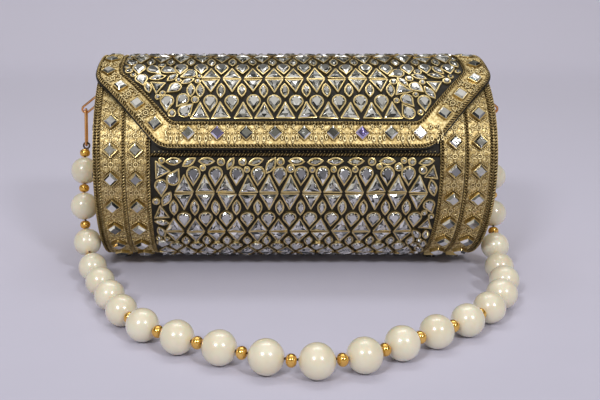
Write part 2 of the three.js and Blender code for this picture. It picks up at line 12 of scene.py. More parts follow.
import bmesh
import bpy
import numpy as np
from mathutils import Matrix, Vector


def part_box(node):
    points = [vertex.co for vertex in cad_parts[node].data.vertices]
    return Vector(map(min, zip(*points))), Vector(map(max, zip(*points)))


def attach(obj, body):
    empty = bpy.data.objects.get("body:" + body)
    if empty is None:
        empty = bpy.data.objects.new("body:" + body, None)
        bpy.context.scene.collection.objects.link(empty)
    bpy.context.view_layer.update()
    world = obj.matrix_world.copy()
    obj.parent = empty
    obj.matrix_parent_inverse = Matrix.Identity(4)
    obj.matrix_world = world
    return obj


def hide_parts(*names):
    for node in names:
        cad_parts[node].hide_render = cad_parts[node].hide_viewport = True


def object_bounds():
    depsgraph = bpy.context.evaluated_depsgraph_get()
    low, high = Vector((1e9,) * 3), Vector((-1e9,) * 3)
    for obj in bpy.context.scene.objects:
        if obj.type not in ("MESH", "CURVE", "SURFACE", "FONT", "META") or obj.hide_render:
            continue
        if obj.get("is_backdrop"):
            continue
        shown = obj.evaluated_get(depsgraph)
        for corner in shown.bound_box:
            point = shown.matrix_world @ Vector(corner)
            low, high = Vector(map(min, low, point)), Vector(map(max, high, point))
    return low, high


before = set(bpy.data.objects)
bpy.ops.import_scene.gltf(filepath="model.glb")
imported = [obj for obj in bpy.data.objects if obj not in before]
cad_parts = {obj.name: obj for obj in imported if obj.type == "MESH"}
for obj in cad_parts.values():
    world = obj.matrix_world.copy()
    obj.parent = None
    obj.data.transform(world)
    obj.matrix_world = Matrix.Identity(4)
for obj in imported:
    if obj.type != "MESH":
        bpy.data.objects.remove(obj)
cad_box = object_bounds()
MM = 0.001
rng = np.random.default_rng(11)
print("nodes in the frame:", len(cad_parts))

# %% [markdown]
# Nearly everything on the bag is bent round one straight line, its axis. So a place is easiest
# to give as millimetres along the axis, degrees round it (0 in front, 90 on top) and
# millimetres out from it. The axis itself is the middle of the case's tube. The places could
# also be read off the solids one by one, but with these three numbers a flat drawing of the
# bag's surface can be used as it is.

# %% Places on the bag
def middle_of(node):
    low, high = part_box(node)
    return (low + high) / 2


AXIS = middle_of("case_shell")
CASE_HALF = (AXIS.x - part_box("band_outer_left")[0].x) / MM
FIELD_HALF = (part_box("body_field")[1].x - AXIS.x) / MM
FLAP_HALF = (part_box("flap_shell")[1].x - AXIS.x) / MM


def on_bag(along, angle, radius):
    """Points in metres, from millimetres along, degrees round and millimetres out."""
    turn = np.radians(angle)
    parts = np.broadcast_arrays(
        AXIS.x + np.asarray(along) * MM,
        AXIS.y - radius * MM * np.cos(turn),
        AXIS.z + radius * MM * np.sin(turn),
    )
    return np.stack(parts, axis=-1)


print(f"case half {CASE_HALF:.1f} mm, stone field half {FIELD_HALF:.1f} mm, flap half {FLAP_HALF:.1f} mm")

# %% [markdown]
# The view is a little from above and from the left of the bag's middle. A camera could be
# turned and moved by eye until it fits, but its lens and place follow from edges of known size,
# such as the two rims, so they are set once. The picture is slid sideways with the camera's
# shift, which keeps the bag centred without turning the camera away from it.

# %% Camera
CAMERA_PITCH = 75.87
CAMERA_FROM_AXIS = (-27.6, -439.6, 88.4)
LENS, SENSOR_WIDTH = 48.18, 36
PICTURE_SHIFT = (0.1013, -0.0068)

camera_data = bpy.data.cameras.new("camera")
camera_data.lens = LENS
camera_data.sensor_width = SENSOR_WIDTH
camera_data.shift_x, camera_data.shift_y = PICTURE_SHIFT
camera = bpy.data.objects.new("camera", camera_data)
camera.location = AXIS + Vector(CAMERA_FROM_AXIS) * MM
camera.rotation_euler = (math.radians(CAMERA_PITCH), 0, 0)
bpy.context.scene.collection.objects.link(camera)
bpy.context.scene.camera = camera
print("camera at", [round(value, 3) for value in camera.location])

# %% [markdown]
# Each finish is one material made of nodes. A noise texture read in the object's own
# coordinates mottles the colour and a second one roughens the surface. Pictures of metal or
# lac could be laid on the pieces instead, but they need unwrapping and blur from close by, and
# nodes need neither.

# %% A finish with mottled colour and a fine grain
def link(material, source, output, target, socket):
    material.node_tree.links.new(source.outputs[output], target.inputs[socket])


def noise(material, scale, detail=4):
    nodes = material.node_tree.nodes
    place = nodes.new("ShaderNodeTexCoord")
    texture = nodes.new("ShaderNodeTexNoise")
    texture.inputs["Scale"].default_value = scale
    texture.inputs["Detail"].default_value = detail
    link(material, place, "Object", texture, "Vector")
    return texture


def ramp(material, colours):
    """A colour ramp from (position, red, green, blue) stops."""
    node = material.node_tree.nodes.new("ShaderNodeValToRGB")
    elements = node.color_ramp.elements
    while len(elements) < len(colours):
        elements.new(0.5)
    for element, (position, *colour) in zip(elements, colours):
        element.position = position
        element.color = (*colour, 1)
    return node


def finish(name, colours, metallic, roughness, mottle=60, grain=900, relief=0.00003):
    """A Principled material whose colour wanders along a ramp, with a bumped grain."""
    material = bpy.data.materials.new(name)
    material.use_nodes = True
    shader = material.node_tree.nodes["Principled BSDF"]
    shader.inputs["Metallic"].default_value = metallic
    shader.inputs["Roughness"].default_value = roughness
    tint = ramp(material, colours)
    link(material, noise(material, mottle), "Fac", tint, "Fac")
    link(material, tint, "Color", shader, "Base Color")
    bump = material.node_tree.nodes.new("ShaderNodeBump")
    bump.inputs["Distance"].default_value = relief
    link(material, noise(material, grain), "Fac", bump, "Height")
    link(material, bump, "Normal", shader, "Normal")
    return material, shader, tint

# %% [markdown]
# The ground between the stones is black lac, a resin that is dull where it was scraped level.
# The bezels are soft gold foil, burnished by hand, so they are smooth but not mirrors. The
# strap's beads are shinier, its wire links are redder, and its thread is dark. They could be
# made one by one, but only colour, metal and gloss differ, so one function makes them all.

# %% Black lac, gold and thread
METAL, NOT_METAL = 1, 0
lac, lac_shader, _ = finish(
    "black_lac", [(0.3, 0.006, 0.005, 0.003), (0.7, 0.02, 0.016, 0.01)],
    NOT_METAL, 0.5, mottle=250, grain=1500,
)
lac_shader.inputs["Specular IOR Level"].default_value = 0.25
gold, _, _ = finish(
    "bright_gold", [(0.3, 0.56, 0.42, 0.17), (0.7, 0.84, 0.67, 0.33)],
    METAL, 0.3, mottle=260, grain=700,
)
bead_gold, _, _ = finish(
    "bead_gold", [(0.3, 0.8, 0.45, 0.1), (0.7, 0.95, 0.6, 0.17)],
    METAL, 0.16, mottle=120, grain=500,
)
thread_finish, _, _ = finish(
    "dark_thread", [(0.3, 0.03, 0.02, 0.015), (0.7, 0.12, 0.08, 0.05)],
    NOT_METAL, 0.7, mottle=900, grain=2500,
)
copper_gold, _, _ = finish(
    "copper_gold", [(0.3, 0.66, 0.33, 0.14), (0.7, 0.86, 0.5, 0.24)],
    METAL, 0.25, mottle=120, grain=900,
)
print("plain finishes:", lac.name, gold.name, bead_gold.name, thread_finish.name, copper_gold.name)

# %% [markdown]
# Old brass is pale where fingers polish it and brown in the hollows of its stamping. It could
# be painted by hand, face by face. The ambient occlusion node finds the hollows by itself: its
# value is near one on open metal and falls in a hollow, so it drives the colour ramp from brown
# to pale gold. A number on each face, called shade, adds to it: one half changes nothing, less
# is grimier and more is better polished.

# %% Antique brass
def maths(material, operation):
    node = material.node_tree.nodes.new("ShaderNodeMath")
    node.operation = operation
    return node


BRASS_TINTS = [
    (0.35, 0.055, 0.036, 0.015),
    (0.64, 0.31, 0.215, 0.085),
    (0.86, 0.62, 0.48, 0.22),
    (1.05, 0.84, 0.7, 0.39),
]
POLISH_WEIGHT = 0.7


def brass_finish(name, hollow_reach):
    """Brass whose tint follows its hollows, a worn noise and the shade of each face."""
    material, _, tint = finish(name, BRASS_TINTS, METAL, 0.45, mottle=300, grain=1100, relief=0.0002)
    nodes = material.node_tree.nodes
    hollow = nodes.new("ShaderNodeAmbientOcclusion")
    hollow.inputs["Distance"].default_value = hollow_reach
    hollow.samples = 6
    worn = nodes.new("ShaderNodeMapRange")
    worn.inputs["To Min"].default_value = 0.35
    worn.inputs["To Max"].default_value = 1.4
    link(material, noise(material, 800, 6), "Fac", worn, "Value")
    polish = nodes.new("ShaderNodeAttribute")
    polish.attribute_name = "shade"
    product = maths(material, "MULTIPLY")
    link(material, hollow, "AO", product, 0)
    link(material, worn, "Result", product, 1)
    polished = maths(material, "MULTIPLY_ADD")
    polished.inputs[1].default_value = POLISH_WEIGHT
    link(material, polish, "Fac", polished, 0)
    link(material, product, "Value", polished, 2)
    centred = maths(material, "SUBTRACT")
    centred.inputs[1].default_value = POLISH_WEIGHT / 2
    link(material, polished, "Value", centred, 0)
    link(material, centred, "Value", tint, "Fac")
    return material


brass = brass_finish("antique_brass", 0.0012)
print("antique brass has", len(brass.node_tree.nodes), "nodes")

# %% [markdown]
# The stones are glass over silver foil. Clear glass with a foil below it could be modelled as
# it is, but light paths through hundreds of small glasses take long to render. The foil throws
# light back anyway, so a metallic base stands for it, with a faint crinkle in its normal, and a
# clear coat on top is the polished glass. Each facet carries a number called shade, a painted
# reflection: foil-backed facets mirror different parts of the stone's inside, some dark while
# their neighbours flash, and this number darkens or lightens the facet's colour to paint that
# in. Two mirrors of the flap are violet.

# %% Foil-backed glass
def foil_glass(name, dark, middle, bright):
    """Polished glass over foil, its colour set by the painted reflection of each facet, dark to bright."""
    tints = [(0.0, *dark), (0.5, *middle), (1.0, *bright)]
    material, shader, tint = finish(name, tints, METAL, 0.12, grain=420, relief=0.00015)
    shader.inputs["Coat Weight"].default_value = 1
    shader.inputs["Coat Roughness"].default_value = 0.02
    facet = material.node_tree.nodes.new("ShaderNodeAttribute")
    facet.attribute_name = "shade"
    link(material, facet, "Fac", tint, "Fac")
    return material


stone = foil_glass("foil_stone", (0.03, 0.035, 0.035), (0.4, 0.4, 0.375), (0.94, 0.94, 0.9))
violet = foil_glass("violet_foil_stone", (0.1, 0.08, 0.2), (0.34, 0.28, 0.62), (0.8, 0.76, 0.95))
print("glass finishes:", stone.name, violet.name)

# %% [markdown]
# The pearls are glass beads dipped in cream lacquer. Real nacre would want a thin film that
# splits light into colours, but dipped beads hardly show any. So the base is cream and a
# little light scatters below the surface, a wide soft gloss lies on it, and a clear coat
# adds the small sharp reflections of the lamps.

# %% Pearl
pearl_finish, pearl_shader, _ = finish(
    "pearl", [(0.3, 0.68, 0.61, 0.44), (0.7, 0.78, 0.73, 0.58)],
    NOT_METAL, 0.33, mottle=70, grain=300, relief=0.00001,
)
pearl_shader.inputs["Specular IOR Level"].default_value = 1.0
pearl_shader.inputs["Coat Weight"].default_value = 1.0
pearl_shader.inputs["Coat Roughness"].default_value = 0.12
pearl_shader.inputs["Subsurface Weight"].default_value = 0.2
pearl_shader.inputs["Subsurface Scale"].default_value = 0.002
print("finishes:", [material.name for material in bpy.data.materials])

# %% [markdown]
# Most pieces here are many small closed shapes that one object holds, such as hundreds of
# bezels. Array and curve modifiers could repeat them, but each stone has its own place, tilt
# and shade. So a pile collects points and faces from plain loops, and the piece function turns
# it into an object that rides on the bag or its flap. A loft joins closed outlines one after
# another, which makes plates, tubes, rings, ropes and beads alike.

# %% Lofts and piles
def loft(rings, closed=False):
    """Points and faces of a body whose outline goes from ring to ring."""
    rings = np.asarray(rings)
    count, size = rings.shape[:2]
    faces = []
    for row in range(count if closed else count - 1):
        here, there = row * size, (row + 1) % count * size
        for i in range(size):
            after = (i + 1) % size
            faces.append((here + i, here + after, there + after, there + i))
    if not closed:
        last = (count - 1) * size
        faces += [tuple(range(size - 1, -1, -1)), tuple(range(last, last + size))]
    return rings.reshape(-1, 3), faces

# %% A pile of closed shapes
class Pile:
    """Closed shapes gathered for one mesh, each face with its shade."""

    def __init__(self):
        self.points, self.faces, self.shades, self.count = [], [], [], 0

    def add(self, shape, shades=None):
        points, faces = shape
        self.points.append(points)
        self.faces += [tuple(self.count + corner for corner in face) for face in faces]
        self.shades += [0.5] * len(faces) if shades is None else list(shades)
        self.count += len(points)

# %% A piece that rides on the bag
def piece(name, pile, material, body, stands_for=(), smooth=0):
    """One object made of a pile, riding on a body. Smooth is the sharpest angle shaded round."""
    mesh = bpy.data.meshes.new(name)
    mesh.from_pydata(np.concatenate(pile.points), [], pile.faces)
    outward = bmesh.new()
    outward.from_mesh(mesh)
    bmesh.ops.recalc_face_normals(outward, faces=outward.faces)
    outward.to_mesh(mesh)
    outward.free()
    mesh.attributes.new("shade", "FLOAT", "FACE").data.foreach_set("value", pile.shades)
    if smooth:
        mesh.shade_smooth()
        mesh.set_sharp_from_angle(angle=math.radians(smooth))
    mesh.materials.append(material)
    made = bpy.data.objects.new(name, mesh)
    bpy.context.scene.collection.objects.link(made)
    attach(made, body)
    if stands_for:
        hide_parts(*stands_for)
    triangles = sum(len(face) - 2 for face in pile.faces)
    print(f"{name}: {triangles} triangles")
    return made

# %% [markdown]
# A bent plate is a strip that follows the bag round. A flat one could be bent by a modifier,
# which stretches its outer side. Here it is lofted from thin upright sections, one every degree
# or so, each reaching from one place along the axis to another, so its thickness stays true.

# %% Bent plates
PLATE_STEP = 1.5


def bent_plate(sections, inner, outer):
    """A plate between two radii, from (angle, from, to) sections."""
    rings = [
        on_bag([start, end, end, start], angle, np.array([inner, inner, outer, outer]))
        for angle, start, end in sections
    ]
    return loft(rings)


def even_angles(start, end, step=PLATE_STEP):
    return np.linspace(start, end, max(2, math.ceil(abs(end - start) / step) + 1))


def straight_plate(start, end, front, back, inner, outer):
    return bent_plate([(angle, start, end) for angle in even_angles(front, back)], inner, outer)


def lathe(outline, steps=180):
    """A ring round the axis, from a closed outline of (along, radius)."""
    along, radius = np.array(outline).T
    return loft([on_bag(along, angle, radius) for angle in np.arange(steps) * 360 / steps], closed=True)

# %% [markdown]
# The case is a rolled tube with an opening under the flap. The opening could be cut out with a
# boolean, which leaves long thin faces at its corners. Two short tubes at the ends and a trough
# between them make the same form without any cutting.

# %% Case shell
CASE_RADIUS, CASE_WALL = 50.8, 2.2
SHELL_HALF = (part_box("case_shell")[1].x - AXIS.x) / MM
WINDOW_HALF = FIELD_HALF - 4
WINDOW_FRONT, WINDOW_BACK = 20, 140

inner_radius = CASE_RADIUS - CASE_WALL
case = Pile()
for side in (-1, 1):
    near, far = side * WINDOW_HALF, side * SHELL_HALF
    case.add(lathe([(near, inner_radius), (near, CASE_RADIUS), (far, CASE_RADIUS), (far, inner_radius)]))
trough_angles = (WINDOW_FRONT, WINDOW_BACK - 360)
case.add(straight_plate(-WINDOW_HALF, WINDOW_HALF, *trough_angles, inner_radius, CASE_RADIUS))
piece("case_tube", case, lac, "case", ["case_shell"], smooth=30)

# %% [markdown]
# The strips are edged with two thin wires twisted together. A row of small slanted beads would
# look much the same from far away. Laid together, though, the wires have a section like a
# figure eight, so one eight-shaped outline that turns as it travels makes the whole rope in one
# body, and its crests are the polished part.

# %% Twisted wire
TWIST = 3.0
SLICES_PER_TURN = 10
ROPE_POLISH, ROPE_GRIME = 1.5, 0.95
LOBE_ANGLES = np.radians(np.arange(0, 360, 30))
WAIST = 0.4
LOBE_REACH = np.maximum(np.abs(np.cos(LOBE_ANGLES)), WAIST)


def evenly(path, count):
    """The same line with evenly spaced points."""
    steps = np.linalg.norm(np.diff(path, axis=0), axis=1)
    walked = np.concatenate([[0], np.cumsum(steps)])
    marks = np.linspace(0, walked[-1], count)
    return np.stack([np.interp(marks, walked, path[:, axis]) for axis in range(3)], axis=1)


def unit(vectors):
    return vectors / np.linalg.norm(vectors, axis=-1, keepdims=True)


def off_axis(points):
    """Which way is outward, for points on the bag."""
    return unit((points - np.array(AXIS)) * [0, 1, 1])

# %% A rope along a line
def rope(path, radius, closed=False, hand=1, outward=None):
    """A twisted wire along a path in metres, its radius in millimetres."""
    length = np.linalg.norm(np.diff(path, axis=0), axis=1).sum() / MM
    slices = max(1, round(length / TWIST)) * SLICES_PER_TURN
    points = evenly(path, slices + 1)
    ahead = np.gradient(points, axis=0)
    if closed:
        ahead[0] = ahead[-1] = points[1] - points[-2]
        points, ahead = points[:-1], ahead[:-1]
    up = off_axis(points) if outward is None else np.broadcast_to(outward, points.shape)
    side = unit(np.cross(ahead, up))
    up = unit(np.cross(side, ahead))
    turn = LOBE_ANGLES + hand * 2 * np.pi * np.arange(len(points))[:, None] / SLICES_PER_TURN
    reach = LOBE_REACH * radius * MM
    rings = points[:, None] + (np.cos(turn) * reach)[..., None] * side[:, None]
    rings = rings + (np.sin(turn) * reach)[..., None] * up[:, None]
    shape = loft(rings, closed)
    crest = (LOBE_REACH + np.roll(LOBE_REACH, -1)) / 2
    shades = np.resize(crest * ROPE_POLISH - ROPE_GRIME, len(shape[1]))
    return shape, shades

# %% Rings and plain wires
def ring_path(along, radius):
    return on_bag(along, np.arange(0, 361, 2), radius)


def tube(path, radius, sides=10, closed=False):
    """A plain round wire along a path in metres. Its ends are flat."""
    points = np.array(path, float)
    ahead = np.gradient(points, axis=0)
    if closed:
        ahead[0] = ahead[-1] = points[1] - points[-2]
        points, ahead = points[:-1], ahead[:-1]
    steady = np.array([0.13, 0.21, 1.0])
    side = unit(np.cross(ahead, steady))
    up = unit(np.cross(side, ahead))
    turn = 2 * np.pi * np.arange(sides) / sides
    spread = np.cos(turn)[:, None] * side[:, None] + np.sin(turn)[:, None] * up[:, None]
    radii = np.broadcast_to(radius, len(points))[:, None, None]
    return loft(points[:, None] + spread * radii * MM, closed)

# %% [markdown]
# The brass strips are stamped with rows of fine grains, little rings and scrolls. A bump
# texture would be cheaper, but it lies flat at the edge of the bag and in raking light. So each
# of them is modelled once in its own flat coordinates, in millimetres, and then set on the bag
# wherever it repeats.

# %% Setting small shapes on the bag
def bag_axes(angle):
    """Sideways, upward along the surface, and outward, at an angle round the bag."""
    turn = math.radians(angle)
    return np.array([[1, 0, 0], [0, math.sin(turn), math.cos(turn)], [0, -math.cos(turn), math.sin(turn)]])


def turned(axes, turn, tilt=(0, 0)):
    """The same axes turned about the outward one, and tilted a little if asked."""
    spin, (lean, roll) = math.radians(turn), np.radians(tilt)
    side, up, out = axes
    side, up = math.cos(spin) * side + math.sin(spin) * up, math.cos(spin) * up - math.sin(spin) * side
    tipped = unit(out + math.sin(lean) * side + math.sin(roll) * up)
    side = unit(side - tipped * (side @ tipped))
    return np.array([side, np.cross(tipped, side), tipped])


def set_on(shape, origin, axes):
    points, faces = shape
    return origin + points @ axes * MM, faces


def set_on_bag(shape, along, angle, radius, turn=0, tilt=(0, 0)):
    return set_on(shape, on_bag(along, angle, radius), turned(bag_axes(angle), turn, tilt))

# %% Grains and bent wires
WIRE_REST = 0.1


def flat_ring(radius, height, sides):
    turn = 2 * np.pi * np.arange(sides) / sides
    return np.stack([radius * np.cos(turn), radius * np.sin(turn), np.full(sides, height)], axis=1)


def grain(radius):
    """A low dome, as a soldered grain of metal, sunk a little in its ground."""
    return loft([
        flat_ring(radius, -0.15, 7),
        flat_ring(radius * 0.95, radius * 0.5, 7),
        flat_ring(radius * 0.5, radius * 1.05, 7),
    ])


def bent_wire(radius, thickness, start, end, steps=9):
    """An arc of wire lying flat, a whole ring if it goes all the way round."""
    closed = end - start >= 360
    turn = np.radians(np.linspace(start, end, steps + 1))
    line = np.stack([radius * np.cos(turn), radius * np.sin(turn), np.full(steps + 1, WIRE_REST)], axis=1)
    return tube(line, thickness / MM, sides=6, closed=closed)

# %% [markdown]
# The stamp repeats between every two mirrors, so the ornament is drawn as one cell: a list of
# small shapes, each with its run along the strip, its place across it and its turn. The bands,
# the flap's slanted sides and its bottom strip have a cell each.

# %% Cells of ornament
CLOVER_GRAIN = 0.48


def stretched(shape, along, across):
    points, faces = shape
    return points * [along, across, 1], faces


def beaded_line(start, end, count, radius):
    """Grains in a row, each as (shape, run, offset, turn)."""
    return [(grain(radius), run, across, 0) for run, across in np.linspace(start, end, count)]


def cluster(run, across):
    """Three grains that touch, like a clover leaf."""
    reach = CLOVER_GRAIN
    return [
        (grain(reach), run + reach * math.cos(turn), across + reach * math.sin(turn), 0)
        for turn in (0.5, 2.6, 4.7)
    ]

# %% Ornament of the bands
def band_cell(width):
    """Ornament between two stones of a band. Its run goes up the band."""
    edge = width * 0.43
    cell = [(bent_wire(1.15, 0.34, 0, 360, 14), 0, 0, 0), (grain(0.4), 0, 0, 0)]
    for way in (-1, 1):
        for side in (-1, 1):
            cell += beaded_line((way * 2.6, side * 0.2), (way * 5.6, side * edge), 6, 0.46)
            cell.append((bent_wire(0.95, 0.32, 20, 235), way * 1.7, side * 2.7, 90 - 90 * way * side))
            cell += cluster(way * 3.6, side * edge * 0.98)
        cell.append((grain(0.6), way * 1.9, 0, 0))
        cell.append((grain(0.5), 0, way * 1.95, 0))
        cell += cluster(0, way * edge * 0.9)
    return cell

# %% Ornament of the flap
def slant_cell(width):
    """Ornament between two stones of the flap's sides."""
    cell = [(bent_wire(1.2, 0.36, 0, 360, 14), 0, 0, 0), (grain(0.42), 0, 0, 0)]
    for way in (-1, 1):
        for side in (-1, 1):
            cell.append((bent_wire(1.05, 0.34, 10, 250), way * 2.0, side * 2.5, 90 - 90 * way * side))
            cell += cluster(way * 1.6, side * width * 0.42)
            cell.append((grain(0.5), way * 3.3, side * 3.6, 0))
        cell.append((grain(0.62), 0, way * 2.3, 0))
        cell.append((grain(0.5), way * 2.1, 0, 0))
        cell += cluster(0, way * 3.9)
    return cell


def hanging_cell(width):
    """Ornament of the flap's bottom strip: two scrolls back to back, with drops hung between."""
    cell = [(grain(0.5), -0.2, 0, 0)]
    for way in (-1, 1):
        cell.append((bent_wire(1.7, 0.4, -62, 62), 0, -way * 2.3, 90 + 90 * way))
        cell.append((grain(0.55), 0, way * 1.9, 0))
        for run, across, size in ((-2.9, 1.5, 1.0), (-2.4, 3.7, 0.8), (3.1, 2.0, 0.8)):
            loop = stretched(bent_wire(0.75, 0.34, 0, 360, 12), 0.8 * size, 1.7 * size)
            cell.append((loop, run, way * across, 0))
        cell.append((grain(0.45), -5.0, way * 1.5, 0))
        cell.append((grain(0.45), width * 0.36, way * 0.7, 0))
        cell.append((grain(0.4), 1.5, way * 3.9, 0))
    return cell

# %% Setting a cell on the bag
RELIEF_POLISH = 0.85


def strew(pile, cell, radius, along, angle, turn=0):
    """Sets a cell on the bag. Its run goes upward when the turn is 0."""
    spin = math.radians(turn)
    for shape, run, across, spun in cell:
        side = across * math.cos(spin) - run * math.sin(spin)
        up = across * math.sin(spin) + run * math.cos(spin)
        place = (along + side, angle + math.degrees(up / radius), radius)
        pile.add(set_on_bag(shape, *place, turn + spun), [RELIEF_POLISH] * len(shape[1]))

# %% [markdown]
# A square mirror sits in a small gold box, corner up on the bands. A plain cube would have no
# sparkle. Its crown has a flat table and eight facets that slope to the edge, with the corners
# nipped off as a cutter does, and each stone leans by a degree or two, because a hand set it.

# %% A square stone in its box
SQUARE_HALF = 2.85
BEZEL_WALL = 0.35


def square_ring(half, nip, height):
    """Eight corners of a nipped square."""
    near = half - nip
    corners = [(half, near), (near, half), (-near, half), (-half, near),
               (-half, -near), (-near, -half), (near, -half), (half, -near)]
    return np.array([(u, v, height) for u, v in corners])


def square_box(half, foot, lip):
    """The gold wall round a square stone, up outside, over its rounded lip and down inside."""
    inside = half - BEZEL_WALL
    rings = [
        square_ring(half, 0.25, foot),
        square_ring(half - 0.04, 0.25, lip - 0.1),
        square_ring(half - 0.14, 0.2, lip),
        square_ring(inside, 0.15, lip - 0.05),
        square_ring(inside, 0.15, foot),
    ]
    return loft(rings, closed=True)


def square_stone(half, lip, crown):
    """The mirror itself, its edge held under the box's lip."""
    edge = half - BEZEL_WALL + 0.03
    table = half * 0.6
    return loft([
        square_ring(edge, 0.18, lip - 0.6),
        square_ring(edge, 0.18, lip - 0.12),
        square_ring(table, 0.32, lip + crown),
    ])

# %% Facets with painted reflections
def painted_facet_reflections(faces, painted_table_reflection):
    """Random painted reflections for the facets of a cut stone, dark or bright, and one for its table, the
    last face.
    """
    shades = rng.choice([0.0, 0.3, 0.7, 1.0], len(faces), p=[0.3, 0.2, 0.2, 0.3])
    shades[-1] = painted_table_reflection
    return shades


def add_square(boxes, stones, place, half=SQUARE_HALF, foot=-0.4, lip=2.0, crown=1.0):
    """Sets a boxed stone with a place function that takes a shape."""
    boxes.add(place(square_box(half, foot, lip)))
    shape = place(square_stone(half, lip, crown))
    # The square's table gets a painted reflection too, darker or brighter at random.
    stones.add(shape, painted_facet_reflections(shape[1], rng.choice([0.35, 0.6, 0.75, 0.9])))

# %% [markdown]
# Four stamped strips go round the case, two at each end. They could be cut from one sheet with
# the ropes as texture. Built up as on the real bag, each is a thin flat ring with ropes
# soldered along its edges, a mirror every few millimetres and a cell of ornament between two
# mirrors. Where the flap lies over a band there are no mirrors, so that it can close.

# %% Bands
SEAT_RADIUS, BAND_TOP, ROPE_RADIUS = 51.1, 52.2, 1.0
TABLE_RADIUS = 55.4
BAND_CROWN = 1.1
RIM_WIDTH, BAND_WIDTH, ROPE_WIDTH, GAP = 4, 10, 2, 0.3
RIM_INNER = CASE_HALF - RIM_WIDTH
MID_ROPE = RIM_INNER - BAND_WIDTH - ROPE_WIDTH / 2
INNER_BAND_END = MID_ROPE - ROPE_WIDTH / 2 - GAP
INNER_BAND_START = FIELD_HALF + GAP + ROPE_WIDTH
OUTER_STONES = (MID_ROPE + ROPE_WIDTH / 2 + RIM_INNER) / 2
INNER_STONES = (INNER_BAND_START + INNER_BAND_END) / 2
BAND_STONES = 23
BAND_PITCH = 360 / BAND_STONES
LOWEST_STONE = {"left": -94.5, "right": -90}
FLAP_FRONT, HINGE_ANGLE = 15.4, 150
COVERED_FROM = {"outer": 43, "inner": 27}
print(f"stones {OUTER_STONES:.1f} and {INNER_STONES:.1f} mm along, {BAND_PITCH:.1f} degrees apart")

# %% One band
def band(label, side, part):
    """One strip with its ropes, ornament, boxes and stones. The bag rests on its lowest stone,
    so that one points straight down."""
    metal, boxes, stones = Pile(), Pile(), Pile()
    if part == "outer":
        start, end, middle = MID_ROPE - ROPE_WIDTH / 2, CASE_HALF, OUTER_STONES
        ropes = [(MID_ROPE, 1), (RIM_INNER + ROPE_WIDTH / 2, 1), (CASE_HALF - ROPE_WIDTH / 2, -1)]
    else:
        start, end, middle = FIELD_HALF + GAP, INNER_BAND_END, INNER_STONES
        ropes = [(FIELD_HALF + GAP + ROPE_WIDTH / 2, 1)]
    start, end = side * start, side * end
    metal.add(lathe([(start, SEAT_RADIUS), (end, SEAT_RADIUS), (end, BAND_TOP), (start, BAND_TOP)]))
    for along, hand in ropes:
        metal.add(*rope(ring_path(side * along, BAND_TOP - 0.1), ROPE_RADIUS - 0.02, True, hand * side))
    cell = band_cell(BAND_WIDTH)
    lift = TABLE_RADIUS - BAND_TOP - BAND_CROWN
    for index in range(BAND_STONES):
        angle = LOWEST_STONE[label] + BAND_PITCH * index
        strew(metal, cell, BAND_TOP, side * middle, angle + BAND_PITCH / 2)
        if abs(angle + 90) < BAND_PITCH / 2:
            angle = -90
        if COVERED_FROM[part] < angle < HINGE_ANGLE + 7:
            continue

        def leaning(shape):
            lean = rng.uniform(-2.5, 2.5, 2)
            return set_on_bag(shape, side * middle, angle, BAND_TOP, 45, lean)

        add_square(boxes, stones, leaning, lip=lift, crown=BAND_CROWN)
    name = f"band_{part}_{label}"
    piece(f"{name}_strip", metal, brass, "case", [name], smooth=40)
    piece(f"{name}_boxes", boxes, gold, "case")
    piece(f"{name}_stones", stones, stone, "case")

# %% All four bands
for label, side in (("left", -1), ("right", 1)):
    for part in ("outer", "inner"):
        band(label, side, part)

# %% [markdown]
# The flap is a trapezium with rounded corners, bent round the bag. Drawn on the curved surface
# its edges would be hard to keep parallel. Laid flat it is easy: a straight lower edge, a
# slanted side, and an end that runs to the hinge. Moving those three lines inward by one
# distance gives the line of every rope, strip and row of stones.

# %% Lines parallel to the flap's edge
FLAP_INNER, FLAP_OUTER = 53.6, 54.5
FLAP_BACK = 145.5
SLANT_LOW, SLANT_HIGH = (71.4, 20.5), (99.7, 56.0)
PER_DEGREE = math.radians(FLAP_OUTER)
STRIP_WIDTH = 13.6


def rounded(line, reach):
    """A line whose corners are replaced by short curves."""
    line = np.array(line, float)
    points = [line[0]]
    for before, corner, after in zip(line, line[1:], line[2:]):
        for share in np.linspace(0, 1, 7):
            start = corner + unit(before - corner) * reach
            end = corner + unit(after - corner) * reach
            points.append((1 - share) ** 2 * start + 2 * share * (1 - share) * corner + share**2 * end)
    return np.array([*points, line[-1]])

# %% The flap's side, moved inward
def flap_side(inset, reach=3.0):
    """The right-hand edge moved inward, as (along, millimetres round), from the middle to the hinge."""
    low = np.array([SLANT_LOW[0], SLANT_LOW[1] * PER_DEGREE])
    high = np.array([SLANT_HIGH[0], SLANT_HIGH[1] * PER_DEGREE])
    slope = unit(high - low)
    base = low + np.array([-slope[1], slope[0]]) * inset
    bottom = FLAP_FRONT * PER_DEGREE + inset
    end = FLAP_HALF - inset
    foot = base + slope * (bottom - base[1]) / slope[1]
    head = base + slope * (end - base[0]) / slope[0]
    return rounded([(0, bottom), foot, head, (end, FLAP_BACK * PER_DEGREE)], reach)


def flap_path(inset, radius, reach=3.0):
    """The whole edge line moved inward, as points on the bag, from hinge to hinge."""
    half = flap_side(inset, reach)
    both = np.concatenate([half[::-1] * [-1, 1], half[1:]])
    flat = np.column_stack([both, np.zeros(len(both))])
    dense = evenly(flat, 500)
    return on_bag(dense[:, 0], dense[:, 1] / PER_DEGREE, radius)


def half_at(line, angle):
    """Half the flap's width at an angle."""
    return np.interp(angle * PER_DEGREE, line[1:, 1], line[1:, 0])


def sections_between(line, angles):
    """Sections of a plate that reaches from one side of the flap to the other."""
    return [(angle, -half_at(line, angle), half_at(line, angle)) for angle in angles]


OUTER_EDGE = flap_side(0, 6.5)
INNER_EDGE = flap_side(STRIP_WIDTH)
slant_end = INNER_EDGE[-2][1] / PER_DEGREE
print(f"the flap's strip is {STRIP_WIDTH} mm wide and its slant runs to {slant_end:.0f} degrees")

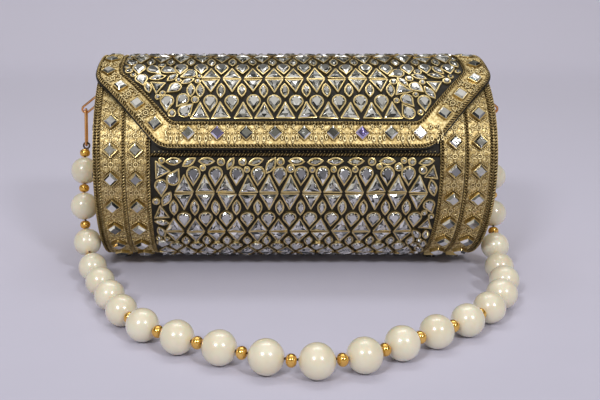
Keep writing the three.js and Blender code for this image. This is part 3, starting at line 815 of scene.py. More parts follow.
# %% [markdown]
# The flap's shell is thin dark metal that shows at its edge and from inside when it is open. It
# could be a face with a solidify modifier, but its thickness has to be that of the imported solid,
# so it is a bent plate whose sections follow the edge line.

# %% Flap shell
fine_angles = np.concatenate([even_angles(FLAP_FRONT, 22, 0.4), even_angles(22.5, FLAP_BACK)])
flap = Pile()
flap.add(bent_plate(sections_between(OUTER_EDGE, fine_angles), FLAP_INNER, FLAP_OUTER))
piece("flap_plate", flap, lac, "flap", ["flap_shell"], smooth=40)

# %% [markdown]
# The flap's stamped strip lies on the shell in one piece, round three sides. Three strips could
# meet at mitred corners, but on the bag no seam shows. So it is lofted across, from its outer
# line to its inner one, with a rope along each. Nine mirrors stand in its lower part, corner up.

# %% Flap strip
STRIP_INNER, STRIP_OUTER = 54.8, 55.5
FLAP_ROPE = 0.95
STRIP_MARGIN = 0.7
MIDDLE_INSET = STRIP_WIDTH / 2
STRIP_PITCH = 14.2
BOTTOM_STONE_START, BOTTOM_STONE_COUNT = -52.6, 9
BOTTOM_ROW_LIFT = 1.2
SIDE_START = {"left": 28.8, "right": 34.4}
VIOLET_BOTTOM = (1, 6)

strip, strip_boxes, strip_stones, violet_stones = Pile(), Pile(), Pile(), Pile()
outer_line = flap_path(STRIP_MARGIN, STRIP_INNER, 6.2)
inner_line = flap_path(STRIP_WIDTH, STRIP_INNER)
rise = (STRIP_OUTER - STRIP_INNER) * MM
rings = [
    np.array([start, end, end + off_axis(end) * rise, start + off_axis(start) * rise])
    for start, end in zip(outer_line, inner_line)
]
strip.add(loft(rings))
strip.add(*rope(flap_path(FLAP_ROPE + STRIP_MARGIN, STRIP_OUTER - 0.1, 5.6), FLAP_ROPE, hand=-1))
strip.add(*rope(flap_path(STRIP_WIDTH - FLAP_ROPE, STRIP_OUTER - 0.1), FLAP_ROPE))

# %% Stones and ornament along the flap's bottom
strip_cell = slant_cell(STRIP_WIDTH - 4)
bottom_cell = hanging_cell(STRIP_WIDTH - 5)


def strip_square(along, angle, turn, pile):
    tilt = rng.uniform(-2, 2, 2)

    def leaning(shape):
        return set_on_bag(shape, along, angle, STRIP_OUTER, turn, tilt)

    add_square(strip_boxes, pile, leaning, foot=-0.5, lip=0.9, crown=0.65)


bottom_angle = FLAP_FRONT + MIDDLE_INSET / PER_DEGREE + BOTTOM_ROW_LIFT
for index in range(BOTTOM_STONE_COUNT):
    along = BOTTOM_STONE_START + index * STRIP_PITCH
    strip_square(along, bottom_angle, 45, violet_stones if index in VIOLET_BOTTOM else strip_stones)
    strew(strip, bottom_cell, STRIP_OUTER, along + STRIP_PITCH / 2, bottom_angle)
strew(strip, bottom_cell, STRIP_OUTER, BOTTOM_STONE_START - STRIP_PITCH / 2, bottom_angle)

# %% [markdown]
# Along the sides the mirrors turn with the slant, so that their walls run along the strip. The
# strip's middle line is walked from the bottom at an even pace, and each stop gives a place and
# a slope. Past the bend, where the strip runs to the hinge, the mirrors stand corner up again.

# %% Stones up the flap's sides
middle_line = flap_side(MIDDLE_INSET)
walked = np.concatenate([[0], np.cumsum(np.linalg.norm(np.diff(middle_line, axis=0), axis=1))])


def on_middle(distance):
    """Where the strip's middle line is after a distance, and its slope in degrees."""
    here, ahead = [
        np.array([np.interp(distance + step, walked, middle_line[:, axis]) for axis in range(2)])
        for step in (0, 0.5)
    ]
    return here, math.degrees(math.atan2(*(ahead - here)[::-1]))


for label, side in (("left", -1), ("right", 1)):
    first = np.interp(SIDE_START[label] * PER_DEGREE, middle_line[1:, 1], walked[1:])
    for distance in np.arange(first, walked[-1] - 7, STRIP_PITCH):
        (along, round_it), slope = on_middle(distance)
        turn = slope * side if slope < 80 else 45
        strip_square(along * side, round_it / PER_DEGREE, turn, strip_stones)
        (along, round_it), slope = on_middle(distance + STRIP_PITCH / 2)
        if distance + STRIP_PITCH / 2 < walked[-1] - 4:
            strew(strip, strip_cell, STRIP_OUTER, along * side, round_it / PER_DEGREE, (slope - 90) * side)
piece("flap_strip", strip, brass, "flap",
      ["flap_frame_bottom", "flap_frame_left", "flap_frame_right"], smooth=40)
piece("flap_strip_boxes", strip_boxes, gold, "flap")
piece("flap_strip_stones", strip_stones, stone, "flap")
piece("flap_strip_violet_stones", violet_stones, violet, "flap")

# %% [markdown]
# Four cuts fill the black ground: triangles, drops, pointed ovals and small rounds. Each is a
# flat outline. They could be cut out of gem meshes with booleans, but a loop over the outline is
# shorter and gives clean facets. The bezel follows it as a thin gold wall, and the stone rises
# inside from its girdle to its table through a zigzag of triangular facets.

# %% Outlines
def triangle_outline():
    base, height, nip = 9.9, 9.7, 0.045
    corners = np.array([(-base / 2, -height / 2), (base / 2, -height / 2), (0, height / 2)])
    points = []
    for index, corner in enumerate(corners):
        following = corners[(index + 1) % 3]
        points.append(corner + (corners[index - 1] - corner) * nip)
        points.append(corner + (following - corner) * nip)
        points.append((corner + following) / 2)
    return np.array(points)


def drop_outline():
    radius, centre, tip = 3.6, 1.5, -5.0
    turn = np.radians(np.linspace(-24, 204, 11))
    arc = np.stack([radius * np.cos(turn), centre + radius * np.sin(turn)], axis=1)
    return np.concatenate([arc, [(0, tip)]])


def oval_outline():
    half_width, half_height = 2.3, 4.75
    share = np.linspace(-1, 1, 7)
    right = np.stack([half_width * (1 - share**2), half_height * share], axis=1)
    return np.concatenate([right, -right[1:-1]])


def round_outline():
    return flat_ring(2.15, 0, 12)[:, :2]


OUTLINES = {
    "triangle": triangle_outline(),
    "drop": drop_outline(),
    "oval": oval_outline(),
    "round": round_outline(),
}
print("corners:", {kind: len(outline) for kind, outline in OUTLINES.items()})
TABLE_SHARES = {"triangle": 0.34, "drop": 0.6, "oval": 0.5, "round": 0.55}
BEZEL = 0.62


def inset_outline(outline, distance):
    """The outline with each of its sides moved inward by a distance."""
    edges = unit(np.roll(outline, -1, axis=0) - outline)
    inward = np.stack([-edges[:, 1], edges[:, 0]], axis=1)
    before = np.roll(inward, 1, axis=0)
    spread = 1 + (before * inward).sum(1, keepdims=True)
    return outline + (before + inward) / spread * distance


def at_height(outline, height):
    return np.column_stack([outline, np.full(len(outline), height)])

# %% A bezel and its stone
def bezel_shape(outline, foot, lip):
    """A gold wall along an outline, with a rounded lip."""
    inside = inset_outline(outline, BEZEL)
    middle = inset_outline(outline, BEZEL / 2)
    rings = [
        at_height(outline, foot),
        at_height(outline, lip - 0.12),
        at_height(middle, lip),
        at_height(inside, lip - 0.1),
        at_height(inside, foot),
    ]
    return loft(rings, closed=True)


def stone_shape(outline, kind, lip, table):
    """A cut stone: girdle, a zigzag of facets, a break line and the table."""
    girdle = inset_outline(outline, BEZEL - 0.04)
    centre = girdle.mean(0)
    count = len(girdle)
    between = (girdle + np.roll(girdle, -1, axis=0)) / 2
    share = TABLE_SHARES[kind]
    shoulder = centre + (between - centre) * (share + rng.uniform(0.16, 0.36, (count, 1)))
    shoulder_heights = lip + (table - lip) * rng.uniform(0.35, 0.95, count)
    rings = [
        at_height(girdle, lip - 0.7),
        at_height(girdle, lip - 0.14),
        np.column_stack([shoulder, shoulder_heights]),
        at_height(centre + (girdle - centre) * share, table),
    ]
    faces = [tuple(range(count - 1, -1, -1))]
    for index in range(count):
        after = (index + 1) % count
        foot, edge, mid, head = (np.array([index, after]) + count * level for level in range(4))
        faces.append((foot[0], foot[1], edge[1], edge[0]))
        faces.append((edge[0], edge[1], mid[0]))
        faces.append((edge[1], mid[1], mid[0]))
        faces.append((mid[0], mid[1], head[1]))
        faces.append((mid[0], head[1], head[0]))
    faces.append(tuple(range(3 * count, 4 * count)))
    return np.concatenate(rings), faces

# %% [markdown]
# A setter lays out rows first and then fills the chinks. Stones scattered by a particle system
# would overlap or leave bare places. So the field is laid flat on a fine grid of cells, and a
# stone is only added where each cell under it is free, after which those cells are taken.

# %% A layout that lets no two stones touch
CELL = 0.25
STONE_GAP = 0.14
SPARE = 3


class Layout:
    """Stones on a bent field laid flat, with the free places kept on a fine grid of cells."""

    def __init__(self, radius, front, back, half_width):
        self.per_degree = math.radians(radius)
        self.low = np.array([-FLAP_HALF, front * self.per_degree - SPARE])
        size = np.array([2 * FLAP_HALF, (back - front) * self.per_degree + 2 * SPARE])
        self.columns, self.rows = (np.arange(int(length / CELL)) * CELL for length in size)
        angles = (self.rows + self.low[1]) / self.per_degree
        self.free = np.abs(self.columns + self.low[0])[None] < half_width(angles)[:, None]
        self.free &= ((angles > front) & (angles < back))[:, None]
        self.stones = []

    def outline(self, kind, along, angle, turn, size):
        spin = math.radians(turn)
        spun = np.array([[math.cos(spin), math.sin(spin)], [-math.sin(spin), math.cos(spin)]])
        return OUTLINES[kind] * size @ spun + [along, angle * self.per_degree]

    def add(self, kind, along, angle, turn=0, size=1.0):
        """Adds a stone if it is free all over, and tells whether it was."""
        points = self.outline(kind, along, angle, turn, size) - self.low
        first = np.floor((points.min(0) - STONE_GAP) / CELL).astype(int)
        last = np.ceil((points.max(0) + STONE_GAP) / CELL).astype(int) + 1
        if (first < 0).any() or last[0] > len(self.columns) or last[1] > len(self.rows):
            return False
        window = (slice(first[1], last[1]), slice(first[0], last[0]))
        edges = unit(np.roll(points, -1, axis=0) - points)
        across = self.columns[window[1]][None, None] - points[:, 0, None, None]
        upward = self.rows[window[0]][None, :, None] - points[:, 1, None, None]
        depth = (edges[:, 0, None, None] * upward - edges[:, 1, None, None] * across).min(0)
        if (~self.free[window] & (depth > -STONE_GAP)).any():
            return False
        self.free[window] &= depth < 0
        self.stones.append((kind, along, angle, turn, size))
        return True

    def roomy_places(self, reach, step=3):
        """Places with a free square round them, in a mixed order."""
        half = int(reach / CELL)
        taken = np.pad(np.cumsum(np.cumsum(~self.free, axis=0), axis=1), ((1, 0), (1, 0)))
        wide = 2 * half
        inside = taken[wide:, wide:] - taken[:-wide, wide:] - taken[wide:, :-wide] + taken[:-wide, :-wide]
        rows, columns = np.nonzero(inside[::step, ::step] == 0)
        spots = np.stack([columns, rows], axis=1) * step + half
        rng.shuffle(spots)
        return [(*(spot * CELL + self.low) / [1, self.per_degree], spot) for spot in spots]

# %% [markdown]
# The rows repeat every 26 degrees, each time moved by half a column: drops between upright
# triangles, then the same triangles upside down, and pointed ovals between their tips. After
# the rows, the widest chinks left are looked for, and the largest small stone that fits goes in.

# %% Rows of the pattern
COLUMN = 10.6
ROWS = (
    ("drop", -1.4, 0, 0.5),
    ("triangle", -4.9, 0, 0),
    ("triangle", -14.95, 180, 0),
    ("oval", -18.1, 0, 0.5),
)
HAND_SHAKE = (0.18, 0.1, 1.6)


def lay_rows(layout, apex, first_column):
    """Rows under one line of triangle tips. Each row has its kind, its drop below the tips, its
    turn and its shift as a share of a column."""
    for kind, below, turn, shift in ROWS:
        for index in range(-2, 15):
            along = first_column + (index + shift) * COLUMN
            angle = apex + below / layout.per_degree
            shake = rng.normal(0, 1, 3) * HAND_SHAKE
            if not layout.add(kind, along + shake[0], angle + shake[1], turn + shake[2]):
                layout.add(kind, along, angle, turn, 0.96)

# %% Small stones for the chinks
FILLERS = (
    ("drop", 0.95, 2.2, 24),
    ("triangle", 0.9, 1.7, 24),
    ("oval", 1.0, 1.5, 24),
    ("round", 1.0, 1.5, 1),
    ("oval", 0.85, 1.2, 24),
    ("round", 0.75, 1.0, 1),
)


def fill_chinks(layout):
    """Stones in the gaps that the rows leave. Each filler has its kind, its size, the free reach
    it looks for and the number of turns tried."""
    for kind, size, reach, turns in FILLERS:
        for along, angle, (column, row) in layout.roomy_places(reach):
            if layout.free[row, column]:
                any(layout.add(kind, along, angle, turn * 360 / turns, size) for turn in range(turns))

# %% [markdown]
# The row under the mouth and the stones along the ends don't repeat, so they are listed one by
# one. Each has its kind, its place along the bag, its angle round it, its turn and its size.

# %% Charted stones
MOUTH_ROW = [
    ("triangle", -67.0, 5.8, 28, 0.88), ("oval", -60.0, 9.2, 92, 0.88), ("oval", -52.3, 8.7, 122, 0.86),
    ("oval", -43.7, 9.3, 90, 0.9), ("round", -36.6, 8.9, 0, 0.95), ("oval", -31.9, 8.0, 152, 0.76),
    ("round", -26.0, 8.9, 0, 0.95), ("oval", -19.4, 9.0, 106, 0.86), ("oval", -12.6, 7.9, -6, 0.76),
    ("round", -7.2, 9.0, 0, 0.95), ("oval", 0.6, 9.2, 88, 0.9), ("oval", 9.9, 9.0, 96, 0.88),
    ("oval", 19.7, 9.1, 92, 0.9), ("oval", 29.9, 9.1, 94, 0.9), ("round", 37.7, 9.0, 0, 0.95),
    ("oval", 45.3, 9.2, 90, 0.9), ("oval", 52.4, 7.9, 4, 0.76), ("round", 57.5, 9.0, 0, 0.95),
    ("oval", 64.6, 8.9, 100, 0.86),
]
BODY_ENDS = [
    ("round", -69.0, 0.6, 0, 0.95), ("round", -69.0, -12.9, 0, 0.95), ("triangle", -66.9, -19.3, 4, 0.84),
    ("oval", -66.8, -26.9, 80, 0.85), ("drop", -68.0, -33.0, 70, 0.7), ("round", -69.2, -40.6, 0, 0.8),
    ("triangle", 67.6, 3.9, -8, 0.74), ("drop", 68.4, -6.6, 0, 0.8), ("drop", 67.8, -16.4, 24, 0.86),
    ("triangle", 67.6, -27.4, -6, 0.76), ("oval", 68.6, -37.0, 10, 0.85), ("oval", 68.8, -47.0, 0, 0.9),
]
FLAP_SIDES = [
    ("triangle", -65.2, 40.4, 96, 0.84), ("triangle", -68.8, 49.4, 176, 0.84),
    ("drop", -56.3, 41.2, -34, 0.9), ("drop", -60.6, 49.2, -48, 0.9),
    ("oval", -77.2, 56.6, 128, 0.9), ("oval", -69.0, 57.6, 108, 1.0),
    ("oval", -61.4, 57.4, 136, 0.85), ("oval", -53.6, 54.6, 120, 0.85),
    ("triangle", 65.6, 40.6, -100, 0.84), ("triangle", 70.6, 50.0, 178, 0.84),
    ("drop", 56.3, 41.2, 34, 0.9), ("drop", 61.6, 49.6, 42, 0.9),
    ("oval", 72.4, 58.8, 80, 0.95), ("oval", 63.6, 58.0, 66, 0.9), ("oval", 54.8, 54.2, 40, 0.85),
]


def lay_charted(layout, stones):
    refused = [stone for stone in stones if not layout.add(*stone)]
    print("charted stones:", len(stones), "without room:", refused)

# %% Turning a layout into bezels and stones
def painted_dim_room_reflection(angle):
    """How much a table's colour is darkened as a painted reflection of the dim room: tables that face it,
    in front and over the top, are.
    """
    front = 0.42 * math.exp(-(((angle - 2) / 9) ** 2))
    top = 0.62 * min(1, max(0, angle - 44) / 16)
    return front + top


def set_stones(name, body, layout, radius, foot, lip, table, stands_for):
    """Bezels and stones of a layout, standing on the ground's radius."""
    bezels, stones = Pile(), Pile()
    for kind, along, angle, turn, size in layout.stones:
        outline = OUTLINES[kind] * size
        tilt = rng.normal(0, 1.6, 2)
        lift = rng.uniform(-0.1, 0.1)
        place = (along, angle, radius, turn, tilt)
        bezels.add(set_on_bag(bezel_shape(outline, foot, lip + lift), *place))
        shape = set_on_bag(stone_shape(outline, kind, lip + lift, table + lift), *place)
        # Each table's colour is lowered by the painted reflection of the dim room that it faces.
        stones.add(shape, painted_facet_reflections(shape[1], rng.uniform(0.62, 0.88) - painted_dim_room_reflection(angle)))
    piece(f"{name}_bezels", bezels, gold, body, smooth=50)
    piece(f"{name}_stones", stones, stone, body, stands_for)
    print(f"{name}: {len(layout.stones)} stones")

# %% [markdown]
# A thin sheet of black lac wraps the case from the front lip, under the bag and up the back,
# and the stones stand on it. One object per stone would make the file slow, so all the bezels
# are one piece and all the stones another.

# %% Body field
FIELD_FRONT, FIELD_BACK = 11.3, -204.0
BODY_FIRST_TIPS, BODY_PERIOD = 2.6, 26
BODY_FIRST_COLUMNS = (-65.9, -60.5)
GROUND_TOP = 52.3
ground = Pile()
ground.add(straight_plate(-FIELD_HALF, FIELD_HALF, FIELD_BACK, FIELD_FRONT, SEAT_RADIUS, GROUND_TOP))
piece("body_ground", ground, lac, "case", ["body_field"], smooth=40)


def body_half(angles):
    return np.full(len(angles), FIELD_HALF - 0.2)


body = Layout(GROUND_TOP + 1.2, FIELD_BACK + 0.5, FIELD_FRONT + 0.4, body_half)
lay_charted(body, MOUTH_ROW + BODY_ENDS)
for row in range(9):
    lay_rows(body, BODY_FIRST_TIPS - BODY_PERIOD * row, BODY_FIRST_COLUMNS[row % 2])
fill_chinks(body)
set_stones("body_field", "case", body, GROUND_TOP, -0.3, 1.2, 2.1, ["body_field"])

# %% [markdown]
# The flap's field has the same rows with a slightly shorter repeat, cut off by the slanted sides
# of the strip. The same functions lay it out; only the half width now changes with the angle.

# %% Flap field
FLAP_FIELD_FRONT, FLAP_FIELD_BACK = 30.0, 140.9
FLAP_GROUND_TOP = 55.3
FLAP_FIRST_TIPS, FLAP_PERIOD = 41.0, 25.3
FLAP_FIRST_COLUMNS = (-57.8, -63.1)
flap_ground = Pile()
field_edge = flap_side(STRIP_WIDTH + GAP)
ground_angles = even_angles(FLAP_FIELD_FRONT + 0.1, FLAP_FIELD_BACK)
flap_ground.add(bent_plate(sections_between(field_edge, ground_angles), STRIP_INNER, FLAP_GROUND_TOP))
piece("flap_ground", flap_ground, lac, "flap", ["flap_field"], smooth=40)


def field_half(angles):
    return half_at(field_edge, angles) - 0.3


flap_layout = Layout(FLAP_GROUND_TOP + 0.9, FLAP_FIELD_FRONT + 0.4, FLAP_FIELD_BACK - 0.3, field_half)
lay_charted(flap_layout, FLAP_SIDES)
for row in range(5):
    lay_rows(flap_layout, FLAP_FIRST_TIPS + FLAP_PERIOD * row, FLAP_FIRST_COLUMNS[row % 2])
fill_chinks(flap_layout)
set_stones("flap_field", "flap", flap_layout, FLAP_GROUND_TOP, -0.3, 1.0, 1.7, ["flap_field"])

# %% [markdown]
# A rope runs along the front lip, and above it a line of tiny grains lies on the black lip,
# where the flap closes over it. Both are small, but they make the dark line at the mouth look
# finished, so they are real shapes and not a texture.

# %% Mouth rope and grains
MOUTH_ANGLE = 12.8
GRAIN_ANGLE, GRAIN_PITCH = 14.6, 2.1
mouth = Pile()
line = on_bag(np.linspace(-FIELD_HALF, FIELD_HALF, 60), MOUTH_ANGLE, SEAT_RADIUS + 0.95)
mouth.add(*rope(line, 0.95))
for along in np.arange(-FIELD_HALF + 2, FIELD_HALF - 1, GRAIN_PITCH):
    mouth.add(set_on_bag(grain(0.35), along, GRAIN_ANGLE, CASE_RADIUS))
piece("mouth_trim", mouth, brass, "case", ["mouth_rope"], smooth=50)

# %% [markdown]
# Five knuckles share one pin. Three belong to the case and two to the flap, so the two halves
# have to be pieces of their own, each riding on its body. A knuckle could be a cylinder with a
# boolean bore. It is lofted as a closed ring whose outline is the tube's wall.

# %% Hinge
HINGE_RADIUS, KNUCKLE, PIN, HINGE_LENGTH, KNUCKLES = 55.2, 2.2, 0.9, 120, 5
LEAF, LEAF_REACH = 1.1, 5
pin_line = on_bag(0, HINGE_ANGLE, HINGE_RADIUS)


def pin_ring(along, radius, sides=32):
    turn = 2 * np.pi * np.arange(sides) / sides
    circle = np.stack([np.full(sides, along), radius * np.cos(turn), radius * np.sin(turn)], axis=1)
    return pin_line + circle * MM


def knuckle(start, end):
    bevel = 0.2
    outline = [
        (start, PIN + GAP), (start, KNUCKLE - bevel), (start + bevel, KNUCKLE),
        (end - bevel, KNUCKLE), (end, KNUCKLE - bevel), (end, PIN + GAP),
    ]
    return loft([pin_ring(along, radius) for along, radius in outline], closed=True)


def hinge_half(name, first, body, leaf_front, leaf_back, inner, tongue):
    """A leaf with every second knuckle, each joined to the leaf by a tongue."""
    metal = Pile()
    half = HINGE_LENGTH / 2
    metal.add(straight_plate(-half, half, leaf_front, leaf_back, inner, inner + LEAF))
    length = HINGE_LENGTH / KNUCKLES
    for index in range(first, KNUCKLES, 2):
        start = -half + index * length + GAP / 2
        end = start + length - GAP
        metal.add(knuckle(start, end))
        metal.add(straight_plate(start, end, *tongue))
    for along in np.arange(-half + 6, half, 12):
        metal.add(set_on_bag(grain(0.9), along, (leaf_front + leaf_back) / 2, inner + LEAF))
    piece(name, metal, brass, body, [name.replace("_leaf", "")], smooth=40)

# %% Both halves and the pin
clear = math.degrees((KNUCKLE + GAP) / HINGE_RADIUS)
flap_leaf_end = HINGE_ANGLE - math.degrees((KNUCKLE + 2 * GAP) / HINGE_RADIUS)
case_tongue = (HINGE_ANGLE - clear * 0.4, HINGE_ANGLE + clear * 0.4, SEAT_RADIUS, SEAT_RADIUS + 2.2)
flap_tongue = (flap_leaf_end - 1, HINGE_ANGLE - 1.6, STRIP_INNER, STRIP_INNER + LEAF)
case_leaf = (HINGE_ANGLE + clear * 0.6, HINGE_ANGLE + LEAF_REACH, SEAT_RADIUS)
flap_leaf = (flap_leaf_end - LEAF_REACH, flap_leaf_end, STRIP_INNER)
hinge_half("case_hinge_leaf", 0, "case", *case_leaf, case_tongue)
hinge_half("flap_hinge_leaf", 1, "flap", *flap_leaf, flap_tongue)
pin = Pile()
pin_half = HINGE_LENGTH / 2
pin_profile = [
    (-pin_half, PIN * 0.8), (-pin_half + 0.3, PIN),
    (pin_half - 0.3, PIN), (pin_half, PIN * 0.8),
]
pin.add(loft([pin_ring(along, radius) for along, radius in pin_profile]))
piece("hinge_rod", pin, gold, "case", ["hinge_pin"], smooth=40)

# %% [markdown]
# Each end is a disc with a raised ring of small square stones and a wire staple that holds the
# strap. The disc is turned on a lathe, as on the real bag, from half of its section. The
# stones stand on a flat face here, so their outward axis is along the bag.

# %% End caps
CAP_THICKNESS = 1.8
CAP_INNER = RIM_INNER + 2 * GAP
CAP_FACE = CAP_INNER + CAP_THICKNESS
CAP_RING = (41, 49, 1.5)
CAP_STONES = 24
CAP_STONE_HALF = 2.3
STAPLE_HEIGHT, STAPLE_FRONT, STAPLE_HALF, STAPLE_REACH = 33, 4, 3, 5.6


def cap_disc(side):
    """The disc with its raised ring, turned from half a section, and a plug for its middle."""
    low, high, rise = CAP_RING
    edge = CASE_RADIUS - 0.4
    top = CAP_FACE + rise
    section = [
        (CAP_INNER, 0.5), (CAP_INNER, edge), (CAP_FACE, edge), (CAP_FACE, high),
        (top - 0.3, high), (top, high - 0.3), (top, low + 0.3), (top - 0.3, low),
        (CAP_FACE, low), (CAP_FACE, 0.5),
    ]
    disc = lathe([(side * along, radius) for along, radius in section])
    plug_ends = (CAP_INNER, CAP_FACE + 0.01)
    plug = loft([on_bag(side * along, np.arange(0, 360, 30), 0.6) for along in plug_ends])
    return disc, plug


def staple(side):
    """A wire bent to a point, both ends sunk in the disc."""
    back = side * (CAP_INNER + CAP_THICKNESS / 2)
    apex = side * (CAP_FACE + STAPLE_REACH)
    shoulder = apex - side * STAPLE_REACH * 0.45
    corners = [
        (back, -STAPLE_HALF), (shoulder, -STAPLE_HALF), (apex, 0),
        (shoulder, STAPLE_HALF), (back, STAPLE_HALF),
    ]
    path = [
        AXIS + Vector((along, forward - STAPLE_FRONT, STAPLE_HEIGHT)) * MM
        for along, forward in rounded(corners, 0.9)
    ]
    return tube([tuple(point) for point in path], 0.9, 14)

# %% Both ends
def end_cap(label, side):
    metal, boxes, stones = Pile(), Pile(), Pile()
    low, high, rise = CAP_RING
    for shape in cap_disc(side):
        metal.add(shape)
    outward = np.array([side, 0, 0])
    for radius, hand in ((low - 1.2, 1), (high + 1.0, -1)):
        metal.add(*rope(ring_path(side * (CAP_FACE + 0.5), radius), 0.8, True, hand, outward))
    for index in range(CAP_STONES):
        turn = math.radians(360 * index / CAP_STONES)
        upward = np.array([0, -math.cos(turn), math.sin(turn)])
        axes = turned(np.array([np.cross(upward, outward), upward, outward]), 0, rng.uniform(-2, 2, 2))
        origin = on_bag(side * (CAP_FACE + rise), 360 * index / CAP_STONES, (low + high) / 2)
        add_square(boxes, stones, lambda shape: set_on(shape, origin, axes), CAP_STONE_HALF, -0.2, 1.0, 0.5)
    metal.add(staple(side))
    piece(f"end_cap_{label}_disc", metal, brass, "case", [f"end_cap_{label}"], smooth=40)
    piece(f"end_cap_{label}_boxes", boxes, gold, "case")
    piece(f"end_cap_{label}_stones", stones, stone, "case")


end_cap("left", -1)
end_cap("right", 1)

# %% [markdown]
# The strap is a string of pearls with a gold bead between neighbours. It could be an array along
# a curve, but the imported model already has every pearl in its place, so the middle of each
# pearl's box gives the line of the thread. A pearl is drilled along that line, so its profile
# ends at the bore and not in a point.

# %% Pearls
pearl_names = sorted(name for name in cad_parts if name.startswith("pearl_"))
centres = np.array([middle_of(name) for name in pearl_names])
headings = unit(np.gradient(centres, axis=0))
PEARL_RADIUS, BORE, BEAD_RADIUS, BEAD_HALF = 7.25, 0.8, 2.75, 2.2


def turned_body(centre, heading, profile, sides):
    """A round body from (distance along its heading, radius) pairs, in millimetres."""
    across = unit(np.cross(heading, [0.1, 0.05, 1]))
    other = np.cross(heading, across)
    turn = 2 * np.pi * np.arange(sides) / sides
    circle = np.cos(turn)[:, None] * across + np.sin(turn)[:, None] * other
    return loft([centre + (distance * heading + radius * circle) * MM for distance, radius in profile])


pearl_reach = math.sqrt(PEARL_RADIUS**2 - BORE**2)
latitudes = np.linspace(-math.atan2(pearl_reach, BORE), math.atan2(pearl_reach, BORE), 25)
pearl_profile = [(-pearl_reach + 0.5, BORE * 0.5)]
pearl_profile += [(PEARL_RADIUS * math.sin(angle), PEARL_RADIUS * math.cos(angle)) for angle in latitudes]
pearl_profile += [(pearl_reach - 0.5, BORE * 0.5)]
for name, centre, heading in zip(pearl_names, centres, headings):
    one = Pile()
    one.add(turned_body(centre, heading, pearl_profile, 36))
    piece(f"{name}_bead", one, pearl_finish, "case", [name], smooth=40)

# %% [markdown]
# Small gold beads keep the pearls apart. They are flatter than a ball, with the thread showing
# on either side. Each sits halfway between two pearls and faces along the thread.

# %% Gold beads, thread and knots
half_thread = (np.linalg.norm(np.diff(centres, axis=0), axis=1).mean() / MM - 2 * BEAD_HALF) / 2
entries = centres - headings * half_thread * MM
exits = centres + headings * half_thread * MM
bead_centres = np.concatenate([
    [entries[0] - headings[0] * BEAD_HALF * MM],
    (exits[:-1] + entries[1:]) / 2,
    [exits[-1] + headings[-1] * BEAD_HALF * MM],
])
bead_headings = unit(np.concatenate([[headings[0]], headings[:-1] + headings[1:], [headings[-1]]]))
bead_profile = [
    (BEAD_HALF * math.sin(angle), BEAD_RADIUS * math.cos(angle) ** 0.8)
    for angle in np.radians(np.linspace(-78, 78, 13))
]
beads = Pile()
for centre, heading in zip(bead_centres, bead_headings):
    beads.add(turned_body(centre, heading, bead_profile, 24))

# %% Sizes of the links and knots
LINK_WIRE, LINK_RADIUS = 0.6, 1.9
EYE_RADIUS, KNOT_RADIUS, THREAD_RADIUS = 1.6, 1.5, 0.5
LONG_LEAN = math.radians(9)
DOWN = np.array([0, -math.sin(LONG_LEAN), -math.cos(LONG_LEAN)])
FORWARD = np.array([0, -math.cos(LONG_LEAN), math.sin(LONG_LEAN)])
LONG_LINK, SHORT_LINK = 16, 9


def link_loop(centre, run, across, length, radius, wire):
    """A long wire link: two half rings joined by straight sides."""
    turn = np.linspace(-90, 270, 49)
    reach = np.where((turn >= -90) & (turn <= 90), length / 2, -length / 2)
    forward = reach + radius * np.cos(np.radians(turn))
    sideways = radius * np.sin(np.radians(turn))
    line = centre + (run * forward[:, None] + across * sideways[:, None]) * MM
    return tube([*line, line[0]] if length else line, wire, 12, closed=True)

# %% Thread with its knots and eyes
knot_profile = [
    (KNOT_RADIUS * math.sin(angle), KNOT_RADIUS * math.cos(angle))
    for angle in np.radians(np.linspace(-80, 80, 9))
]
thread = Pile()
thread_path = [bead_centres[0], *centres, bead_centres[-1]]
for label, end_bead in (("left", 0), ("right", -1)):
    eye = np.array(middle_of(f"strap_link_long_{label}")) + DOWN * (LONG_LINK / 2 + LINK_RADIUS) * MM
    knot = eye + DOWN * (EYE_RADIUS + KNOT_RADIUS) * MM
    thread.add(turned_body(knot, DOWN, knot_profile, 16))
    thread.add(tube([knot, (knot + bead_centres[end_bead]) / 2, bead_centres[end_bead]], THREAD_RADIUS))
    thread.add(link_loop(eye, DOWN, np.cross(DOWN, FORWARD), 0, EYE_RADIUS, THREAD_RADIUS))
thread.add(tube(thread_path, THREAD_RADIUS))
piece("strap_gold_beads", beads, bead_gold, "case", ["strap_string"], smooth=60)
piece("strap_thread", thread, thread_finish, "case", ["strap_string"], smooth=60)

# %% [markdown]
# At each end two wire links hold the strap, a short one in the staple and a long one below it.
# They could be scaled rings, but then the wire would grow thick at the ends. A link is a wire
# bent round two half rings, so it is lofted along that line as a tube. The short one slopes
# outward and the long one hangs from it, leaning on the bag's end.

# %% Wire links
SHORT_LEAN = math.radians(38)
for label, side in (("left", -1), ("right", 1)):
    out = np.array([side * math.cos(SHORT_LEAN), 0, -math.sin(SHORT_LEAN)])
    up = np.array([side * math.sin(SHORT_LEAN), 0, math.cos(SHORT_LEAN)])
    for kind, run, across, length in (("short", out, up, SHORT_LINK), ("long", DOWN, FORWARD, LONG_LINK)):
        wire = Pile()
        name = f"strap_link_{kind}_{label}"
        wire.add(link_loop(np.array(middle_of(name)), run, across, length, LINK_RADIUS, LINK_WIRE))
        piece(f"{name}_wire", wire, copper_gold, "case", [name], smooth=60)

# %% [markdown]
# The bag lies on pale lavender paper that curves up behind it, as in a photographer's booth. A
# flat floor would show a horizon. The paper's tint deepens toward the lamps in front, so that
# it photographs as one even tone.

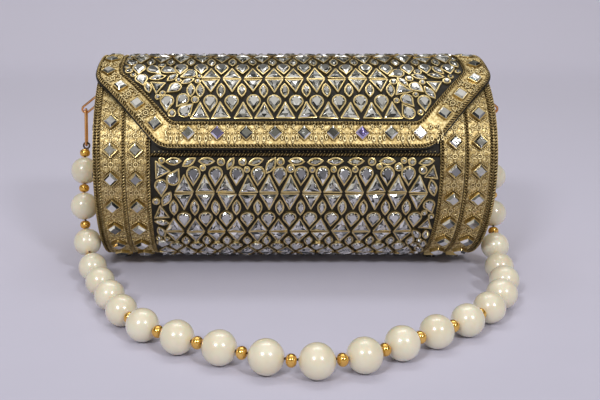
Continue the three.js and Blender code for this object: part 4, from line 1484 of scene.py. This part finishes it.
# %% Paper
floor_finish, _, floor_tint = finish(
    "pale_paper", [(0.0, 0.41, 0.4, 0.49), (0.25, 0.58, 0.565, 0.69), (1.0, 0.8, 0.785, 0.94)],
    0, 0.75, grain=400, relief=0.00002,
)
paper_nodes = floor_finish.node_tree.nodes
paper_place = paper_nodes.new("ShaderNodeTexCoord")
paper_axes = paper_nodes.new("ShaderNodeSeparateXYZ")
link(floor_finish, paper_place, "Object", paper_axes, "Vector")
distance_back = paper_nodes.new("ShaderNodeMapRange")
distance_back.inputs["From Min"].default_value = -0.35
distance_back.inputs["From Max"].default_value = 1.25
link(floor_finish, paper_axes, "Y", distance_back, "Value")
faint_mottle = maths(floor_finish, "MULTIPLY_ADD")
faint_mottle.inputs[1].default_value = 0.03
link(floor_finish, noise(floor_finish, 30), "Fac", faint_mottle, 0)
link(floor_finish, distance_back, "Result", faint_mottle, 2)
link(floor_finish, faint_mottle, "Value", floor_tint, "Fac")

# %% Backdrop
PAPER_FRONT, PAPER_BEND, BEND_RADIUS, PAPER_HALF = -3.0, 1.1, 0.5, 4
sweep = [(PAPER_FRONT, 0), (PAPER_BEND, 0)]
sweep += [
    (PAPER_BEND + BEND_RADIUS * math.sin(angle), BEND_RADIUS - BEND_RADIUS * math.cos(angle))
    for angle in np.radians(np.arange(10, 91, 10))
]
paper_points = [(along, depth, height) for along in (-PAPER_HALF, PAPER_HALF) for depth, height in sweep]
count = len(sweep)
paper_faces = [(i, i + 1, count + i + 1, count + i) for i in range(count - 1)]
paper = bpy.data.meshes.new("paper")
paper.from_pydata(paper_points, [], paper_faces)
paper.shade_smooth()
paper.materials.append(floor_finish)
backdrop = bpy.data.objects.new("paper", paper)
bpy.context.scene.collection.objects.link(backdrop)
backdrop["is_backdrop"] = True
print("the paper has", len(paper_faces), "faces")

# %% [markdown]
# Metal and foil show what surrounds them, so the light matters as much as the finish. Spot
# lamps would leave hard black shadows. Two small square lamps in front give each pearl its pair
# of reflections, and a long one above lights the top of the bag and the paper behind.

# %% Lamps
def lamp(name, location, size, power):
    """A rectangular soft lamp that faces the bag."""
    data = bpy.data.lights.new(name, "AREA")
    data.shape = "RECTANGLE"
    data.size, data.size_y = size
    data.energy = power
    made = bpy.data.objects.new(name, data)
    made.location = location
    made.rotation_euler = (AXIS - Vector(location)).to_track_quat("-Z", "Y").to_euler()
    bpy.context.scene.collection.objects.link(made)
    print(f"{name}: {power} W")


lamp("key_left", (-0.43, -0.8, 0.68), (0.16, 0.16), 4.1)
lamp("key_right", (0.43, -0.8, 0.68), (0.14, 0.14), 3.3)
lamp("top", (0.0, 0.3, 1.2), (0.9, 0.25), 2.4)

# %% [markdown]
# The rest of what the metal mirrors is a room. A picture of a real room could be wrapped round
# the scene, but a ramp from floor level to ceiling does the same: pale walls low down, a dark
# band above them, and a bright ceiling.

# %% Surroundings
world = bpy.data.worlds.new("room")
world.use_nodes = True
sky = world.node_tree
background = sky.nodes["Background"]
background.inputs["Strength"].default_value = 1.0
direction = sky.nodes.new("ShaderNodeTexCoord")
split = sky.nodes.new("ShaderNodeSeparateXYZ")
sky.links.new(direction.outputs["Generated"], split.inputs["Vector"])
height = sky.nodes.new("ShaderNodeValToRGB")
ROOM = [
    (0.0, 0.76, 0.73, 0.68),
    (0.5, 0.16, 0.15, 0.13),
    (0.66, 0.18, 0.18, 0.155),
    (0.8, 0.72, 0.7, 0.68),
]
while len(height.color_ramp.elements) < len(ROOM):
    height.color_ramp.elements.new(0.5)
for element, (position, *colour) in zip(height.color_ramp.elements, ROOM):
    element.position = position
    element.color = (*colour, 1)
sky.links.new(split.outputs["Z"], height.inputs["Fac"])
sky.links.new(height.outputs["Color"], background.inputs["Color"])
bpy.context.scene.world = world
print("the room has", len(ROOM), "tones")
bpy.context.scene.view_settings.view_transform = "Standard"

# %% [markdown]
# The dressed bag must be as large as the imported one. Both boxes are written down.

# %% Write the sizes and finish
dressed_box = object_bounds()
for name, (low, high) in (("packed", cad_box), ("dressed", dressed_box)):
    print(name, [round(value / MM, 1) for value in (*low, *high)])
